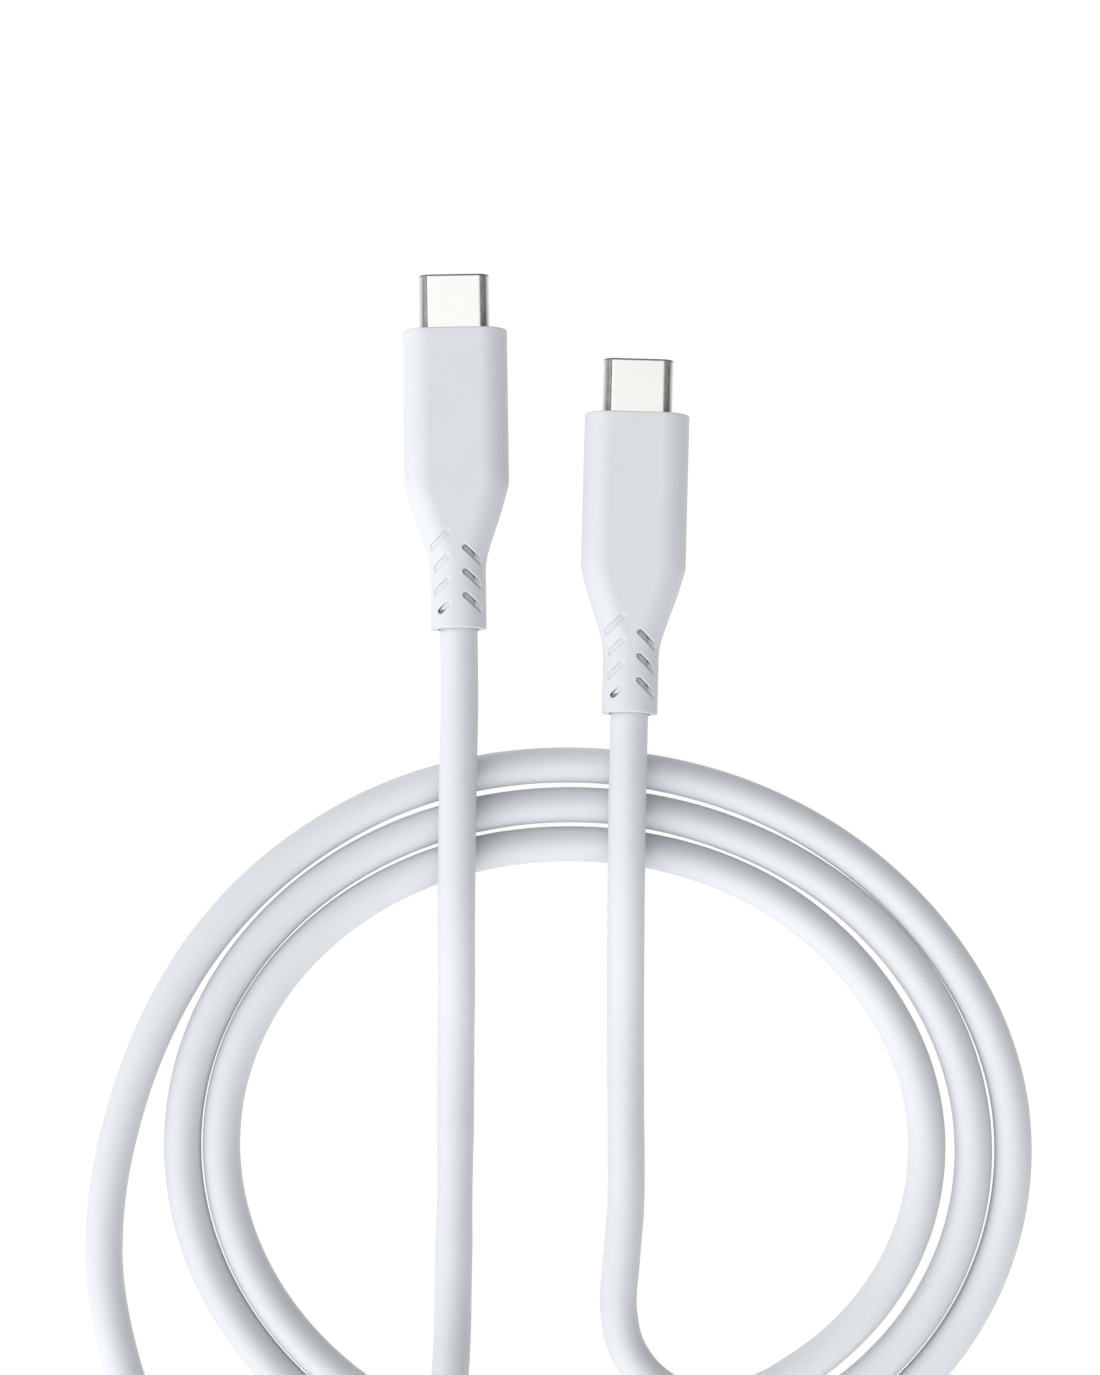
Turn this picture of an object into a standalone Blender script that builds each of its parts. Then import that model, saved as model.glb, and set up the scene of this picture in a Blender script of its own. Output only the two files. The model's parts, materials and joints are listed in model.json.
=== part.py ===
"""A USB-C charging cable: two moulded plugs on one cord, which lies in a flat oval coil.

Frame: +Z up, and the cable lies on the plane Z = 0. The origin is under the middle of the two plugs'
common box. Both plugs point along +Y, side by side, and the coil lies behind them, towards -Y.

Each plug is modelled in its own frame, held by an empty at the middle of its strain relief's mouth:
+Y runs forwards to the plug's tip, X is its width and Z its thickness. That empty stands on the axis
about which the plug swings when the cord flexes. Dimensions are in millimetres, and MM turns them
into metres.
"""

import math

import bmesh
import bpy
from mathutils import Vector

MM = 0.001

# The plug, along its own Y from the mouth of the strain relief
FACE_Y = 35.4
TIP_Y = 42.0
BODY_HALF_WIDTH = 6.17
BODY_HALF_HEIGHT = 3.1
RELIEF_HALF_WIDTH = 3.27
FRONT_EDGE = 0.2
MOUTH_EDGE = 0.1

# The overmould's outline: (y, half width, half height)
OVERMOLD_OUTLINE = [
    (0.0, RELIEF_HALF_WIDTH - MOUTH_EDGE, BODY_HALF_HEIGHT - MOUTH_EDGE),
    (MOUTH_EDGE, RELIEF_HALF_WIDTH, BODY_HALF_HEIGHT),
    (6.7, RELIEF_HALF_WIDTH, BODY_HALF_HEIGHT),
    (8.0, 3.38, BODY_HALF_HEIGHT),
    (9.3, 3.70, BODY_HALF_HEIGHT),
    (10.6, 4.12, BODY_HALF_HEIGHT),
    (11.9, 4.57, BODY_HALF_HEIGHT),
    (13.2, 5.02, BODY_HALF_HEIGHT),
    (14.5, 5.43, BODY_HALF_HEIGHT),
    (15.8, 5.80, BODY_HALF_HEIGHT),
    (17.0, 6.12, BODY_HALF_HEIGHT),
    (17.6, BODY_HALF_WIDTH, BODY_HALF_HEIGHT),
    (FACE_Y - FRONT_EDGE, BODY_HALF_WIDTH, BODY_HALF_HEIGHT),
    (FACE_Y, BODY_HALF_WIDTH - FRONT_EDGE, BODY_HALF_HEIGHT - FRONT_EDGE),
]

# The cord, and what is crimped on its end
CORD_RADIUS = 2.2
CORD_BORE_RADIUS = 2.45
CORD_END_START = 1.0
CORD_END_STOP = 13.6
CRIMP_START = 11.2
CRIMP_STOP = 14.2
CRIMP_CHAMBER_RADIUS = 2.75
BRAID_START = 11.4
BRAID_RADII = (2.4, 2.27)
FERRULE_Y = (11.3, 13.9)
FERRULE_RADII = (2.68, 2.48)

# The strain relief's slots: they slant backwards from the middle and run out at the sides. A reach is
# a slot's length across X, and the one nearest the mouth in the left column is short.
SLOT_WIDTH = 0.62
RIGHT_SLOTS_INNER_X = 0.95
LEFT_SLOTS_INNER_X = 1.2
SLOT_SLOPE = 0.93
SLOT_PITCH = 2.8
RIGHT_SLOTS_Y = 3.75
LEFT_SLOTS_Y = 2.75
SLOT_REACH = 2.6
SHORT_SLOT_REACH = 0.8
# A slot's floor is flat at this height, and the round core of the relief stands up through it
SLOT_FLOOR_HEIGHT = 1.7
RELIEF_CORE_RADIUS = 2.4

# The metal shell and the insulator inside it
SHELL_REAR_Y = 28.6
SHELL_HALF_WIDTH = 4.125
SHELL_HALF_HEIGHT = 1.2
SHELL_WALL = 0.2
SHELL_LIP = 0.12
SHELL_LIP_TAPER = 0.07
# The hole in the mouldings that the shell stands in, as (half width, half height)
SHELL_HOLE = (4.22, 1.3)
INSULATOR_REAR_Y = 29.9
INSULATOR_FRONT_Y = 41.2
INSULATOR_HALF_WIDTH = 3.84
INSULATOR_HALF_HEIGHT = 0.92
TONGUE_SLOT_REAR_Y = 36.2
TONGUE_SLOT_HALF_WIDTH = 3.37
TONGUE_SLOT_HALF_HEIGHT = 0.38
MID_PLATE_REAR_Y = 30.2
MID_PLATE_HALF_WIDTH = 2.75
MID_PLATE_HALF_HEIGHT = 0.08
PLATE_SLOT_HALF_WIDTH = 2.9
PLATE_SLOT_HALF_HEIGHT = 0.14
LATCH_CHANNEL_X = (3.38, 4.3)
LATCH_CHANNEL_Y = (31.1, 40.7)
LATCH_CHANNEL_HALF_HEIGHT = 0.42

# The hard inner moulding: a hollow block with a collar round the shell and a tapered tail
INNER_MOLD_Y = (14.5, 34.1)
INNER_MOLD_FLARE_Y = 17.7
INNER_MOLD_COLLAR_Y = 33.2
INNER_MOLD_OUTER = (5.25, 2.4)
INNER_MOLD_ROOM = (4.75, 1.95)
INNER_MOLD_TAIL_HALF_WIDTH = 4.4
INNER_MOLD_WALL = 0.5
MOLD_GAP = 0.1

# The shield can around the circuit board, in an upper and a lower half
CAN_Y = (18.0, 29.6)
CAN_OUTER = (4.65, 1.85)
CAN_INNER = (4.5, 1.7)
CAN_SPLIT_HALF_GAP = 0.05

# The grounding springs, each a plate with fingers towards the plug's tip
SPRING_HALF_WIDTH = 2.5
SPRING_Y = (37.3, 40.1)
SPRING_Z = (0.8, 0.92)
FINGER_ROOT_Y = 38.2
FINGER_GAPS_X = (-1.3, 0.0, 1.3)
FINGER_GAP_HALF_WIDTH = 0.2
SPRING_POCKET_HALF_WIDTH = 2.65
SPRING_POCKET_Y = (37.1, 40.3)
SPRING_POCKET_Z = (0.76, 1.3)

# Contacts: places across X of the fitted pins in each row, at the standard half-millimetre pitch
UPPER_PINS_X = (-2.75, -1.25, -0.75, -0.25, 0.25, 1.25, 2.75)
LOWER_PINS_X = (-2.75, -1.25, 0.75, 1.25, 2.75)
PIN_HALF_WIDTH = 0.1
PIN_THICKNESS = 0.12
GROOVE_HALF_WIDTH = 0.15
GROOVE_Z = (0.3, 0.62)
GROOVE_FRONT_Y = 40.6
CARRIER_Y = (31.9, 32.6)
CARRIER_RECESS_HALF_WIDTH = 3.0
CARRIER_RECESS_MARGIN = 0.15
CARRIER_RECESS_Z = (0.34, 0.58)
# A pin's centre line: (y, z), from its solder tail to its tip
PIN_PATH = (
    (28.4, 0.43),
    (30.3, 0.46),
    (CARRIER_Y[0], 0.46),
    (CARRIER_Y[1], 0.46),
    (36.0, 0.46),
    (38.5, 0.39),
    (39.4, 0.33),
    (40.3, 0.45),
)

# The side latches
LATCH_PIVOT_X = 3.53
LATCH_PIVOT_Y = 31.7
LATCH_HALF_HEIGHT = 0.3
# A latch's outline in plan, from its pivot: (outwards, forwards)
LATCH_OUTLINE = (
    (-0.09, -0.3),
    (0.09, -0.3),
    (0.09, 8.2),
    (-0.06, 8.2),
    (-0.24, 7.9),
    (-0.31, 7.55),
    (-0.24, 7.2),
    (-0.09, 6.9),
)

# The circuit board and what is soldered to it
BOARD_Y = (19.0, 29.6)
BOARD_HALF_WIDTH = 3.7
BOARD_HALF_HEIGHT = 0.3
SOLDER_GAP = 0.05
CAPACITOR_X = (1.9, 2.4)
CAPACITOR_Y = (25.4, 26.4)
CHIP_X = (-1.0, 1.0)
CHIP_Y = (23.0, 25.0)
CHIP_HEIGHT = 0.5

# The wires: each one's (x, z) where it leaves the jacket, and the x of its pad on the board
POWER_WIRE_RADIUS = 0.5
DATA_WIRE_RADIUS = 0.32
POWER_WIRES = {
    "wire_vbus": ((-1.0, 0.8), -2.5),
    "wire_ground": ((1.0, 0.8), 2.5),
}
DATA_WIRES = {
    "wire_cc": ((0.0, -1.2), 0.0),
    "wire_data_plus": ((-1.2, -0.6), -1.9),
    "wire_data_minus": ((1.2, -0.6), 1.9),
}
WIRE_BEND_Y = (15.0, 18.4)
WIRE_TIP_Y = 20.8

# How each plug lies: (x, y) of its mouth, turn about +Z and nose-down tilt in degrees
LEFT_MOUTH = (-10.2, -15.9)
LEFT_TURN = 0.92
LEFT_TILT = 4.2
RIGHT_MOUTH = (9.8, -25.8)
RIGHT_TURN = -1.62
RIGHT_TILT = 5.2

# The coil: an oval spiral, wound clockwise and inwards from its left side
COIL_X = 5.0
COIL_Y = -77.0
COIL_DRIFT_X = -0.158
COIL_HALF_WIDTH = 52.75
COIL_HALF_DEPTH = 46.35
COIL_SKEW = -1.34
TURN_STEP_WIDTH = 4.854
TURN_STEP_DEPTH = 4.75
COIL_START_TURNS = 0.09
COIL_STOP_TURNS = 2.62
COIL_POINTS_PER_TURN = 36
# The part of a turn left open between a lead's end and the coil's solid, about 0.5 mm
JOIN_GAP_TURNS = 0.002
# How far the cord strays outwards from the even spiral: (turns, distance)
COIL_WANDER = (
    (0.09, -0.05),
    (0.13, -0.25),
    (0.20, 0.0),
    (0.30, -0.08),
    (0.40, -0.27),
    (0.49, 0.05),
    (0.95, 0.0),
    (1.09, -0.25),
    (1.20, -0.05),
    (1.30, 0.08),
    (1.39, 0.25),
    (1.54, 0.38),
    (1.90, 0.1),
    (2.10, -0.08),
    (2.23, 0.1),
    (2.33, 0.38),
    (2.44, 0.0),
    (2.54, -0.2),
)

CORD_GAP = 0.3
TUBE_STEP = 9.0

# The left plug's lead, from its mouth over the coil, across the open middle, over the coil again and
# round the outside to where the first turn begins
LEFT_LEAD = [
    (-10.2, -15.9, 5.65),
    (-10.13, -20.4, 5.98),
    (-10.1, -24.9, 6.32),
    (-10.25, -32.0, 6.83),
    (-10.35, -39.0, 7.0),
    (-10.4, -43.0, 6.95),
    (-10.45, -47.5, 6.7),
    (-10.5, -52.5, 5.9),
    (-10.5, -57.5, 4.6),
    (-10.6, -63.0, 3.3),
    (-10.65, -68.5, 2.45),
    (-10.7, -75.0, 2.2),
    (-10.85, -88.0, 2.2),
    (-10.95, -93.0, 2.45),
    (-11.0, -98.0, 3.5),
    (-11.2, -103.0, 5.3),
    (-11.6, -107.5, 6.7),
    (-12.4, -112.0, 7.05),
    (-14.1, -117.3, 7.0),
    (-17.2, -122.0, 6.3),
    (-21.8, -125.6, 5.0),
    (-27.4, -127.2, 3.6),
    (-33.2, -126.4, 2.6),
    (-38.7, -123.2, 2.2),
    (-43.6, -117.3, 2.2),
    (-47.9, -109.2, 2.2),
    (-50.8, -100.3, 2.2),
    (-52.2, -91.8, 2.2),
    (-51.95, -83.35, 2.2),
    (-50.1, -73.9, 2.2),
    (-46.8, -64.4, 2.2),
]

# The right plug's lead, from its mouth over the coil, across the open middle and round a U-turn to
# where the last turn ends
RIGHT_LEAD = [
    (9.8, -25.8, 6.26),
    (9.68, -30.0, 6.64),
    (9.57, -34.0, 6.95),
    (9.5, -38.5, 7.0),
    (9.45, -43.0, 6.9),
    (9.4, -48.0, 6.15),
    (9.4, -53.5, 4.8),
    (9.4, -59.0, 3.45),
    (9.42, -64.5, 2.5),
    (9.45, -70.5, 2.2),
    (9.5, -77.0, 2.2),
    (9.45, -84.0, 2.2),
    (8.95, -90.5, 2.2),
    (8.6, -96.3, 2.2),
    (9.4, -100.4, 2.2),
    (12.0, -104.3, 2.2),
    (16.1, -106.9, 2.2),
    (20.9, -107.5, 2.2),
    (25.5, -106.1, 2.2),
    (30.2, -103.4, 2.2),
]

# Steps in each half round of an oval section
ARC_STEPS = 8


def material(name, color, roughness, metallic=0.0):
    made = bpy.data.materials.new(name)
    made.use_nodes = True
    shader = made.node_tree.nodes["Principled BSDF"]
    shader.inputs["Base Color"].default_value = (*color, 1.0)
    shader.inputs["Roughness"].default_value = roughness
    shader.inputs["Metallic"].default_value = metallic
    made.diffuse_color = (*color, 1.0)
    return made


def place(name, data, collection, finish=None, holder=None, at=(0.0, 0.0, 0.0)):
    """Adds an object that holds data, at a place in millimetres in its holder's frame."""
    made = bpy.data.objects.new(name, data)
    collection.objects.link(made)
    made.parent = holder
    made.location = Vector(at) * MM
    if finish:
        data.materials.append(finish)
    return made


def mesh_from(name, shape, smooth=False):
    """Turns a bmesh in millimetres into a mesh in metres, with its faces pointing out."""
    bmesh.ops.remove_doubles(shape, verts=shape.verts, dist=1e-4)
    bmesh.ops.recalc_face_normals(shape, faces=shape.faces)
    bmesh.ops.scale(shape, vec=(MM, MM, MM), verts=shape.verts)
    mesh = bpy.data.meshes.new(name)
    shape.to_mesh(mesh)
    shape.free()
    if smooth:
        mesh.shade_smooth()
        mesh.set_sharp_from_angle(angle=math.radians(35))
    return mesh


def section(half_width, half_height):
    """A flat oval with round sides, or a circle, as (x, z) points."""
    radius = min(half_width, half_height)
    points = []
    for side in (1, -1):
        for step in range(ARC_STEPS + 1):
            angle = math.pi * (step / ARC_STEPS - 0.5)
            x = side * (half_width - radius + radius * math.cos(angle))
            points.append((x, side * radius * math.sin(angle)))
    return points


def rings_of(shape, sections):
    rings = []
    for y, half_width, half_height in sections:
        points = section(half_width, half_height)
        rings.append([shape.verts.new((x, y, z)) for x, z in points])
    return rings


def bridge(shape, first, second):
    count = len(first)
    for index in range(count):
        after = (index + 1) % count
        shape.faces.new((first[index], first[after], second[after], second[index]))


def solid(sections):
    """A solid through oval sections along Y, with flat ends."""
    shape = bmesh.new()
    rings = rings_of(shape, sections)
    for first, second in zip(rings, rings[1:]):
        bridge(shape, first, second)
    shape.faces.new(rings[0])
    shape.faces.new(rings[-1])
    return shape


def sleeve(outside, inside):
    """A tube along Y: oval sections outside from back to front, and inside from front to back."""
    shape = bmesh.new()
    rings = rings_of(shape, outside + inside)
    for first, second in zip(rings, rings[1:] + rings[:1]):
        bridge(shape, first, second)
    return shape


def straight_sleeve(outer, inner, y_range):
    """A tube along Y of one section, with outer and inner as (half width, half height)."""
    back, front = y_range
    return sleeve([(back, *outer), (front, *outer)], [(front, *inner), (back, *inner)])


def boxes(*ranges):
    """Boxes that don't touch, each given as its X, Y and Z ranges."""
    shape = bmesh.new()
    for ends in ranges:
        made = bmesh.ops.create_cube(shape, size=1.0)["verts"]
        size = [high - low for low, high in ends]
        middle = [(low + high) / 2 for low, high in ends]
        bmesh.ops.scale(shape, vec=size, verts=made)
        bmesh.ops.translate(shape, vec=middle, verts=made)
    return shape


def prism(outline, z_range, shape=None):
    """An outline in plan, as (x, y) points, between two heights."""
    shape = shape or bmesh.new()
    low, high = z_range
    face = shape.faces.new([shape.verts.new((x, y, low)) for x, y in outline])
    raised = bmesh.ops.extrude_face_region(shape, geom=[face])["geom"]
    corners = [item for item in raised if isinstance(item, bmesh.types.BMVert)]
    bmesh.ops.translate(shape, vec=(0.0, 0.0, high - low), verts=corners)
    return shape


def rounded_bar(start, end, width):
    """The plan outline of a bar with round ends."""
    along = (Vector(end) - Vector(start)).normalized()
    across = Vector((-along.y, along.x))
    outline = []
    for middle, turn in ((Vector(end), -90), (Vector(start), 90)):
        for step in range(5):
            angle = math.radians(turn + 45 * step)
            offset = along * math.cos(angle) + across * math.sin(angle)
            outline.append(middle + offset * width / 2)
    return outline


def signed(ends, sign):
    """A range of places, or its mirror image in zero when sign is negative."""
    return tuple(sorted(sign * end for end in ends))


def mirrored_in_z(ranges):
    x_range, y_range, z_range = ranges
    return x_range, y_range, signed(z_range, -1)


def tube(name, points, radius, collection, finish, holder=None, sides=2):
    """A round wire or cord along points in millimetres."""
    curve = bpy.data.curves.new(name, "CURVE")
    curve.dimensions = "3D"
    curve.bevel_depth = radius * MM
    curve.bevel_resolution = sides
    curve.use_fill_caps = True
    line = curve.splines.new("POLY")
    line.points.add(len(points) - 1)
    for point, place_mm in zip(line.points, points):
        point.co = (*(Vector(place_mm) * MM), 1.0)
    return place(name, curve, collection, finish, holder)


def smooth_route(points, step):
    """Reads a smooth curve through points, at about one place each step."""
    points = [Vector(point) for point in points]
    spans = [(after - before).length for before, after in zip(points, points[1:])]
    slopes = [(after - before) / span for before, after, span in zip(points, points[1:], spans)]
    tangents = [slopes[0]]
    for before, after, low, high in zip(slopes, slopes[1:], spans, spans[1:]):
        tangents.append((before * high + after * low) / (low + high))
    tangents.append(slopes[-1])
    route = [points[0]]
    for index, span in enumerate(spans):
        pieces = max(1, round(span / step))
        for piece in range(1, pieces + 1):
            t = piece / pieces
            route.append(
                points[index] * (1 + 2 * t) * (1 - t) ** 2
                + tangents[index] * span * t * (1 - t) ** 2
                + points[index + 1] * t * t * (3 - 2 * t)
                + tangents[index + 1] * span * t * t * (t - 1)
            )
    return route


def every(route, step):
    """Thins a fine route to places a step apart, keeping both ends."""
    total = sum((after - before).length for before, after in zip(route, route[1:]))
    count = max(2, round(total / step))
    kept, walked = [route[0]], 0.0
    for before, after in zip(route, route[1:]):
        walked += (after - before).length
        if walked >= len(kept) * total / count and len(kept) < count:
            kept.append(after)
    return kept + [route[-1]]


def coil_wander(turns):
    """How far outwards the cord lies from the even spiral after so many turns."""
    for (before, low), (after, high) in zip(COIL_WANDER, COIL_WANDER[1:]):
        if turns < after:
            share = max(0.0, (turns - before) / (after - before))
            return low + (high - low) * share * share * (3 - 2 * share)
    return COIL_WANDER[-1][1]


def coil_point(turns):
    """Where the cord's centre line is after so many turns, starting from the coil's left side."""
    angle = math.pi - 2 * math.pi * turns
    half_width = COIL_HALF_WIDTH - TURN_STEP_WIDTH * turns + coil_wander(turns)
    half_depth = COIL_HALF_DEPTH - TURN_STEP_DEPTH * turns + coil_wander(turns)
    x = COIL_X + COIL_DRIFT_X * turns + half_width * math.cos(angle)
    return Vector((x + COIL_SKEW * math.sin(angle), COIL_Y + half_depth * math.sin(angle), CORD_RADIUS))


def coil_edge(turns, offset):
    """A point beside the centre line: offset is positive away from the coil's middle."""
    along = (coil_point(turns + 0.001) - coil_point(turns - 0.001)).normalized()
    edge = coil_point(turns) + Vector((-along.y, along.x, 0.0)) * offset
    return edge.x, edge.y


def coil_solid():
    """The coil's outer shape: a flat ring with a step where each lead meets the winding."""
    first = COIL_START_TURNS + JOIN_GAP_TURNS
    last = COIL_STOP_TURNS - JOIN_GAP_TURNS
    outline = []
    for step in range(COIL_POINTS_PER_TURN + 1):
        outline.append(coil_edge(first + step / COIL_POINTS_PER_TURN, CORD_RADIUS))
    hollow = []
    for step in range(COIL_POINTS_PER_TURN + 1):
        hollow.append(coil_edge(last - step / COIL_POINTS_PER_TURN, -CORD_RADIUS))
    shape = bmesh.new()
    levels = []
    for height in (0.0, 2 * CORD_RADIUS):
        levels.append([[shape.verts.new((x, y, height)) for x, y in loop] for loop in (outline, hollow)])
    for low, high in zip(*levels):
        bridge(shape, low, high)
    for outer, inner in levels:
        loops = []
        for loop in (outer, inner):
            loops += [shape.edges.get((a, b)) for a, b in zip(loop, loop[1:] + loop[:1])]
        bmesh.ops.triangle_fill(shape, edges=loops, use_beauty=True)
    return shape


def cut(target, name, shape, collection, holder):
    """Takes a shape away from a piece, and returns the cutter."""
    cutter = place(name, mesh_from(name, shape), collection, holder=holder)
    cutter.hide_render = True
    cutter.display_type = "WIRE"
    boolean = target.modifiers.new(name, "BOOLEAN")
    boolean.operation = "DIFFERENCE"
    boolean.solver = "EXACT"
    boolean.object = cutter
    return cutter


def slot_shapes():
    """The strain relief's slots, on both faces of the plug."""
    slots = [(-LEFT_SLOTS_INNER_X, LEFT_SLOTS_Y, -SHORT_SLOT_REACH)]
    for row in range(3):
        slots.append((RIGHT_SLOTS_INNER_X, RIGHT_SLOTS_Y + row * SLOT_PITCH, SLOT_REACH))
        slots.append((-LEFT_SLOTS_INNER_X, LEFT_SLOTS_Y + (row + 1) * SLOT_PITCH, -SLOT_REACH))
    shape = bmesh.new()
    for face in (1, -1):
        for inner_x, inner_y, reach in slots:
            start = (face * inner_x, inner_y)
            end = (face * (inner_x + reach), inner_y - SLOT_SLOPE * abs(reach))
            heights = sorted((face * SLOT_FLOOR_HEIGHT, face * (BODY_HALF_HEIGHT + 1)))
            prism(rounded_bar(start, end, SLOT_WIDTH), heights, shape)
    return shape


def contact_row(pins_x, side):
    """A row of spring contacts, joined by the carrier strip inside the insulator."""
    shape = bmesh.new()
    columns = []
    for x in pins_x:
        for edge in (x - PIN_HALF_WIDTH, x + PIN_HALF_WIDTH):
            columns.append([shape.verts.new((edge, y, side * z)) for y, z in PIN_PATH])
    carrier = next(i for i, (y, z) in enumerate(PIN_PATH) if y == CARRIER_Y[0])
    for index, (left, right) in enumerate(zip(columns, columns[1:])):
        is_pin = index % 2 == 0
        for row in range(len(PIN_PATH) - 1):
            if is_pin or row == carrier:
                shape.faces.new((left[row], right[row], right[row + 1], left[row + 1]))
    return shape


def add_thickness(piece, thickness):
    solidify = piece.modifiers.new("thickness", "SOLIDIFY")
    solidify.thickness = thickness * MM
    solidify.offset = 0.0


def build_insulator(prefix, holder, parts, cutters, finishes):
    """The black housing, with the socket tongue's slot and pockets for the metal pieces."""
    name = prefix + "insulator"
    size = (INSULATOR_HALF_WIDTH, INSULATOR_HALF_HEIGHT)
    shape = solid([(INSULATOR_REAR_Y, *size), (INSULATOR_FRONT_Y, *size)])
    insulator = place(name, mesh_from(name, shape, smooth=True), parts, finishes["insulator"], holder)

    tongue_slot = (
        (-TONGUE_SLOT_HALF_WIDTH, TONGUE_SLOT_HALF_WIDTH),
        (TONGUE_SLOT_REAR_Y, INSULATOR_FRONT_Y + 1),
        (-TONGUE_SLOT_HALF_HEIGHT, TONGUE_SLOT_HALF_HEIGHT),
    )
    plate_slot = (
        (-PLATE_SLOT_HALF_WIDTH, PLATE_SLOT_HALF_WIDTH),
        (INSULATOR_REAR_Y - 1, TONGUE_SLOT_REAR_Y + 0.5),
        (-PLATE_SLOT_HALF_HEIGHT, PLATE_SLOT_HALF_HEIGHT),
    )
    carrier_recess = (
        (-CARRIER_RECESS_HALF_WIDTH, CARRIER_RECESS_HALF_WIDTH),
        (CARRIER_Y[0] - CARRIER_RECESS_MARGIN, CARRIER_Y[1] + CARRIER_RECESS_MARGIN),
        CARRIER_RECESS_Z,
    )
    spring_pocket = (
        (-SPRING_POCKET_HALF_WIDTH, SPRING_POCKET_HALF_WIDTH),
        SPRING_POCKET_Y,
        SPRING_POCKET_Z,
    )
    channel_z = (-LATCH_CHANNEL_HALF_HEIGHT, LATCH_CHANNEL_HALF_HEIGHT)
    channels = [(signed(LATCH_CHANNEL_X, sign), LATCH_CHANNEL_Y, channel_z) for sign in (1, -1)]
    groove_y = (INSULATOR_REAR_Y - 1, GROOVE_FRONT_Y)
    grooves = []
    for pins_x, sign in ((UPPER_PINS_X, 1), (LOWER_PINS_X, -1)):
        for x in pins_x:
            groove_x = (x - GROOVE_HALF_WIDTH, x + GROOVE_HALF_WIDTH)
            grooves.append((groove_x, groove_y, signed(GROOVE_Z, sign)))
    cuts = {
        "tongue_slot": boxes(tongue_slot),
        "plate_slot": boxes(plate_slot),
        "contact_grooves": boxes(*grooves),
        "carrier_recesses": boxes(carrier_recess, mirrored_in_z(carrier_recess)),
        "spring_pockets": boxes(spring_pocket, mirrored_in_z(spring_pocket)),
        "latch_channels": boxes(*channels),
    }
    for cut_name, shape in cuts.items():
        cut(insulator, prefix + cut_name, shape, cutters, holder)


def build_overmold(prefix, holder, parts, cutters, finishes):
    """The soft outer moulding and its strain relief, hollow where the inner pieces lie."""
    half_width, half_height = (size + MOLD_GAP for size in INNER_MOLD_OUTER)
    chamber_front = INNER_MOLD_Y[1] + CORD_GAP
    cavity = [
        (FACE_Y, *SHELL_HOLE),
        (chamber_front, *SHELL_HOLE),
        (chamber_front, half_width, half_height),
        (INNER_MOLD_FLARE_Y - MOLD_GAP, half_width, half_height),
        (CRIMP_STOP, INNER_MOLD_TAIL_HALF_WIDTH + MOLD_GAP, half_height),
        (CRIMP_STOP, CRIMP_CHAMBER_RADIUS, CRIMP_CHAMBER_RADIUS),
        (CRIMP_START, CRIMP_CHAMBER_RADIUS, CRIMP_CHAMBER_RADIUS),
        (CRIMP_START, CORD_BORE_RADIUS, CORD_BORE_RADIUS),
        (0.0, CORD_BORE_RADIUS, CORD_BORE_RADIUS),
    ]
    mesh = mesh_from(prefix + "overmold", sleeve(OVERMOLD_OUTLINE, cavity), smooth=True)
    overmold = place(prefix + "overmold", mesh, parts, finishes["elastomer"], holder)
    slots = cut(overmold, prefix + "relief_slots", slot_shapes(), cutters, holder)
    core_size = (RELIEF_CORE_RADIUS, RELIEF_CORE_RADIUS)
    core = solid([(-1.0, *core_size), (CRIMP_STOP, *core_size)])
    cut(slots, prefix + "slot_floor", core, cutters, holder)


def build_cans(prefix, holder, parts, cutters, finishes):
    """The two halves of the shield can around the circuit board."""
    for half, sign in (("upper", 1), ("lower", -1)):
        shape = straight_sleeve(CAN_OUTER, CAN_INNER, CAN_Y)
        name = prefix + "shield_can_" + half
        can = place(name, mesh_from(name, shape, smooth=True), parts, finishes["tinplate"], holder)
        past_the_split = (-CAN_OUTER[1] - 1, CAN_SPLIT_HALF_GAP)
        width = (-CAN_OUTER[0] - 1, CAN_OUTER[0] + 1)
        other_half = (width, (CAN_Y[0] - 1, CAN_Y[1] + 1), signed(past_the_split, sign))
        cut(can, name + "_split", boxes(other_half), cutters, holder)


def build_wires(prefix, holder, parts, finishes):
    """The five insulated wires, from the cord's end to their pads on the board."""
    power_z = BOARD_HALF_HEIGHT + SOLDER_GAP + POWER_WIRE_RADIUS
    data_z = -(BOARD_HALF_HEIGHT + SOLDER_GAP + DATA_WIRE_RADIUS)
    groups = ((POWER_WIRES, power_z, POWER_WIRE_RADIUS), (DATA_WIRES, data_z, DATA_WIRE_RADIUS))
    for wires, pad_z, radius in groups:
        for name, ((from_x, from_z), pad_x) in wires.items():
            guide = [
                (from_x, CORD_END_STOP + CORD_GAP, from_z),
                (from_x, WIRE_BEND_Y[0], from_z),
                (pad_x, WIRE_BEND_Y[1], pad_z),
                (pad_x, WIRE_TIP_Y, pad_z),
            ]
            route = every(smooth_route(guide, 0.25), 1.0)
            tube(prefix + name, route, radius, parts, finishes[name], holder, sides=1)


def build_latches(prefix, holder, parts, finishes):
    """The two side latches, each with its origin on the root about which it flexes."""
    for name, sign in (("latch_west", -1), ("latch_east", 1)):
        outline = [(sign * out, ahead) for out, ahead in LATCH_OUTLINE]
        shape = prism(outline, (-LATCH_HALF_HEIGHT, LATCH_HALF_HEIGHT))
        at = (sign * LATCH_PIVOT_X, LATCH_PIVOT_Y, 0.0)
        place(prefix + name, mesh_from(prefix + name, shape), parts, finishes["spring_steel"], holder, at)


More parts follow.
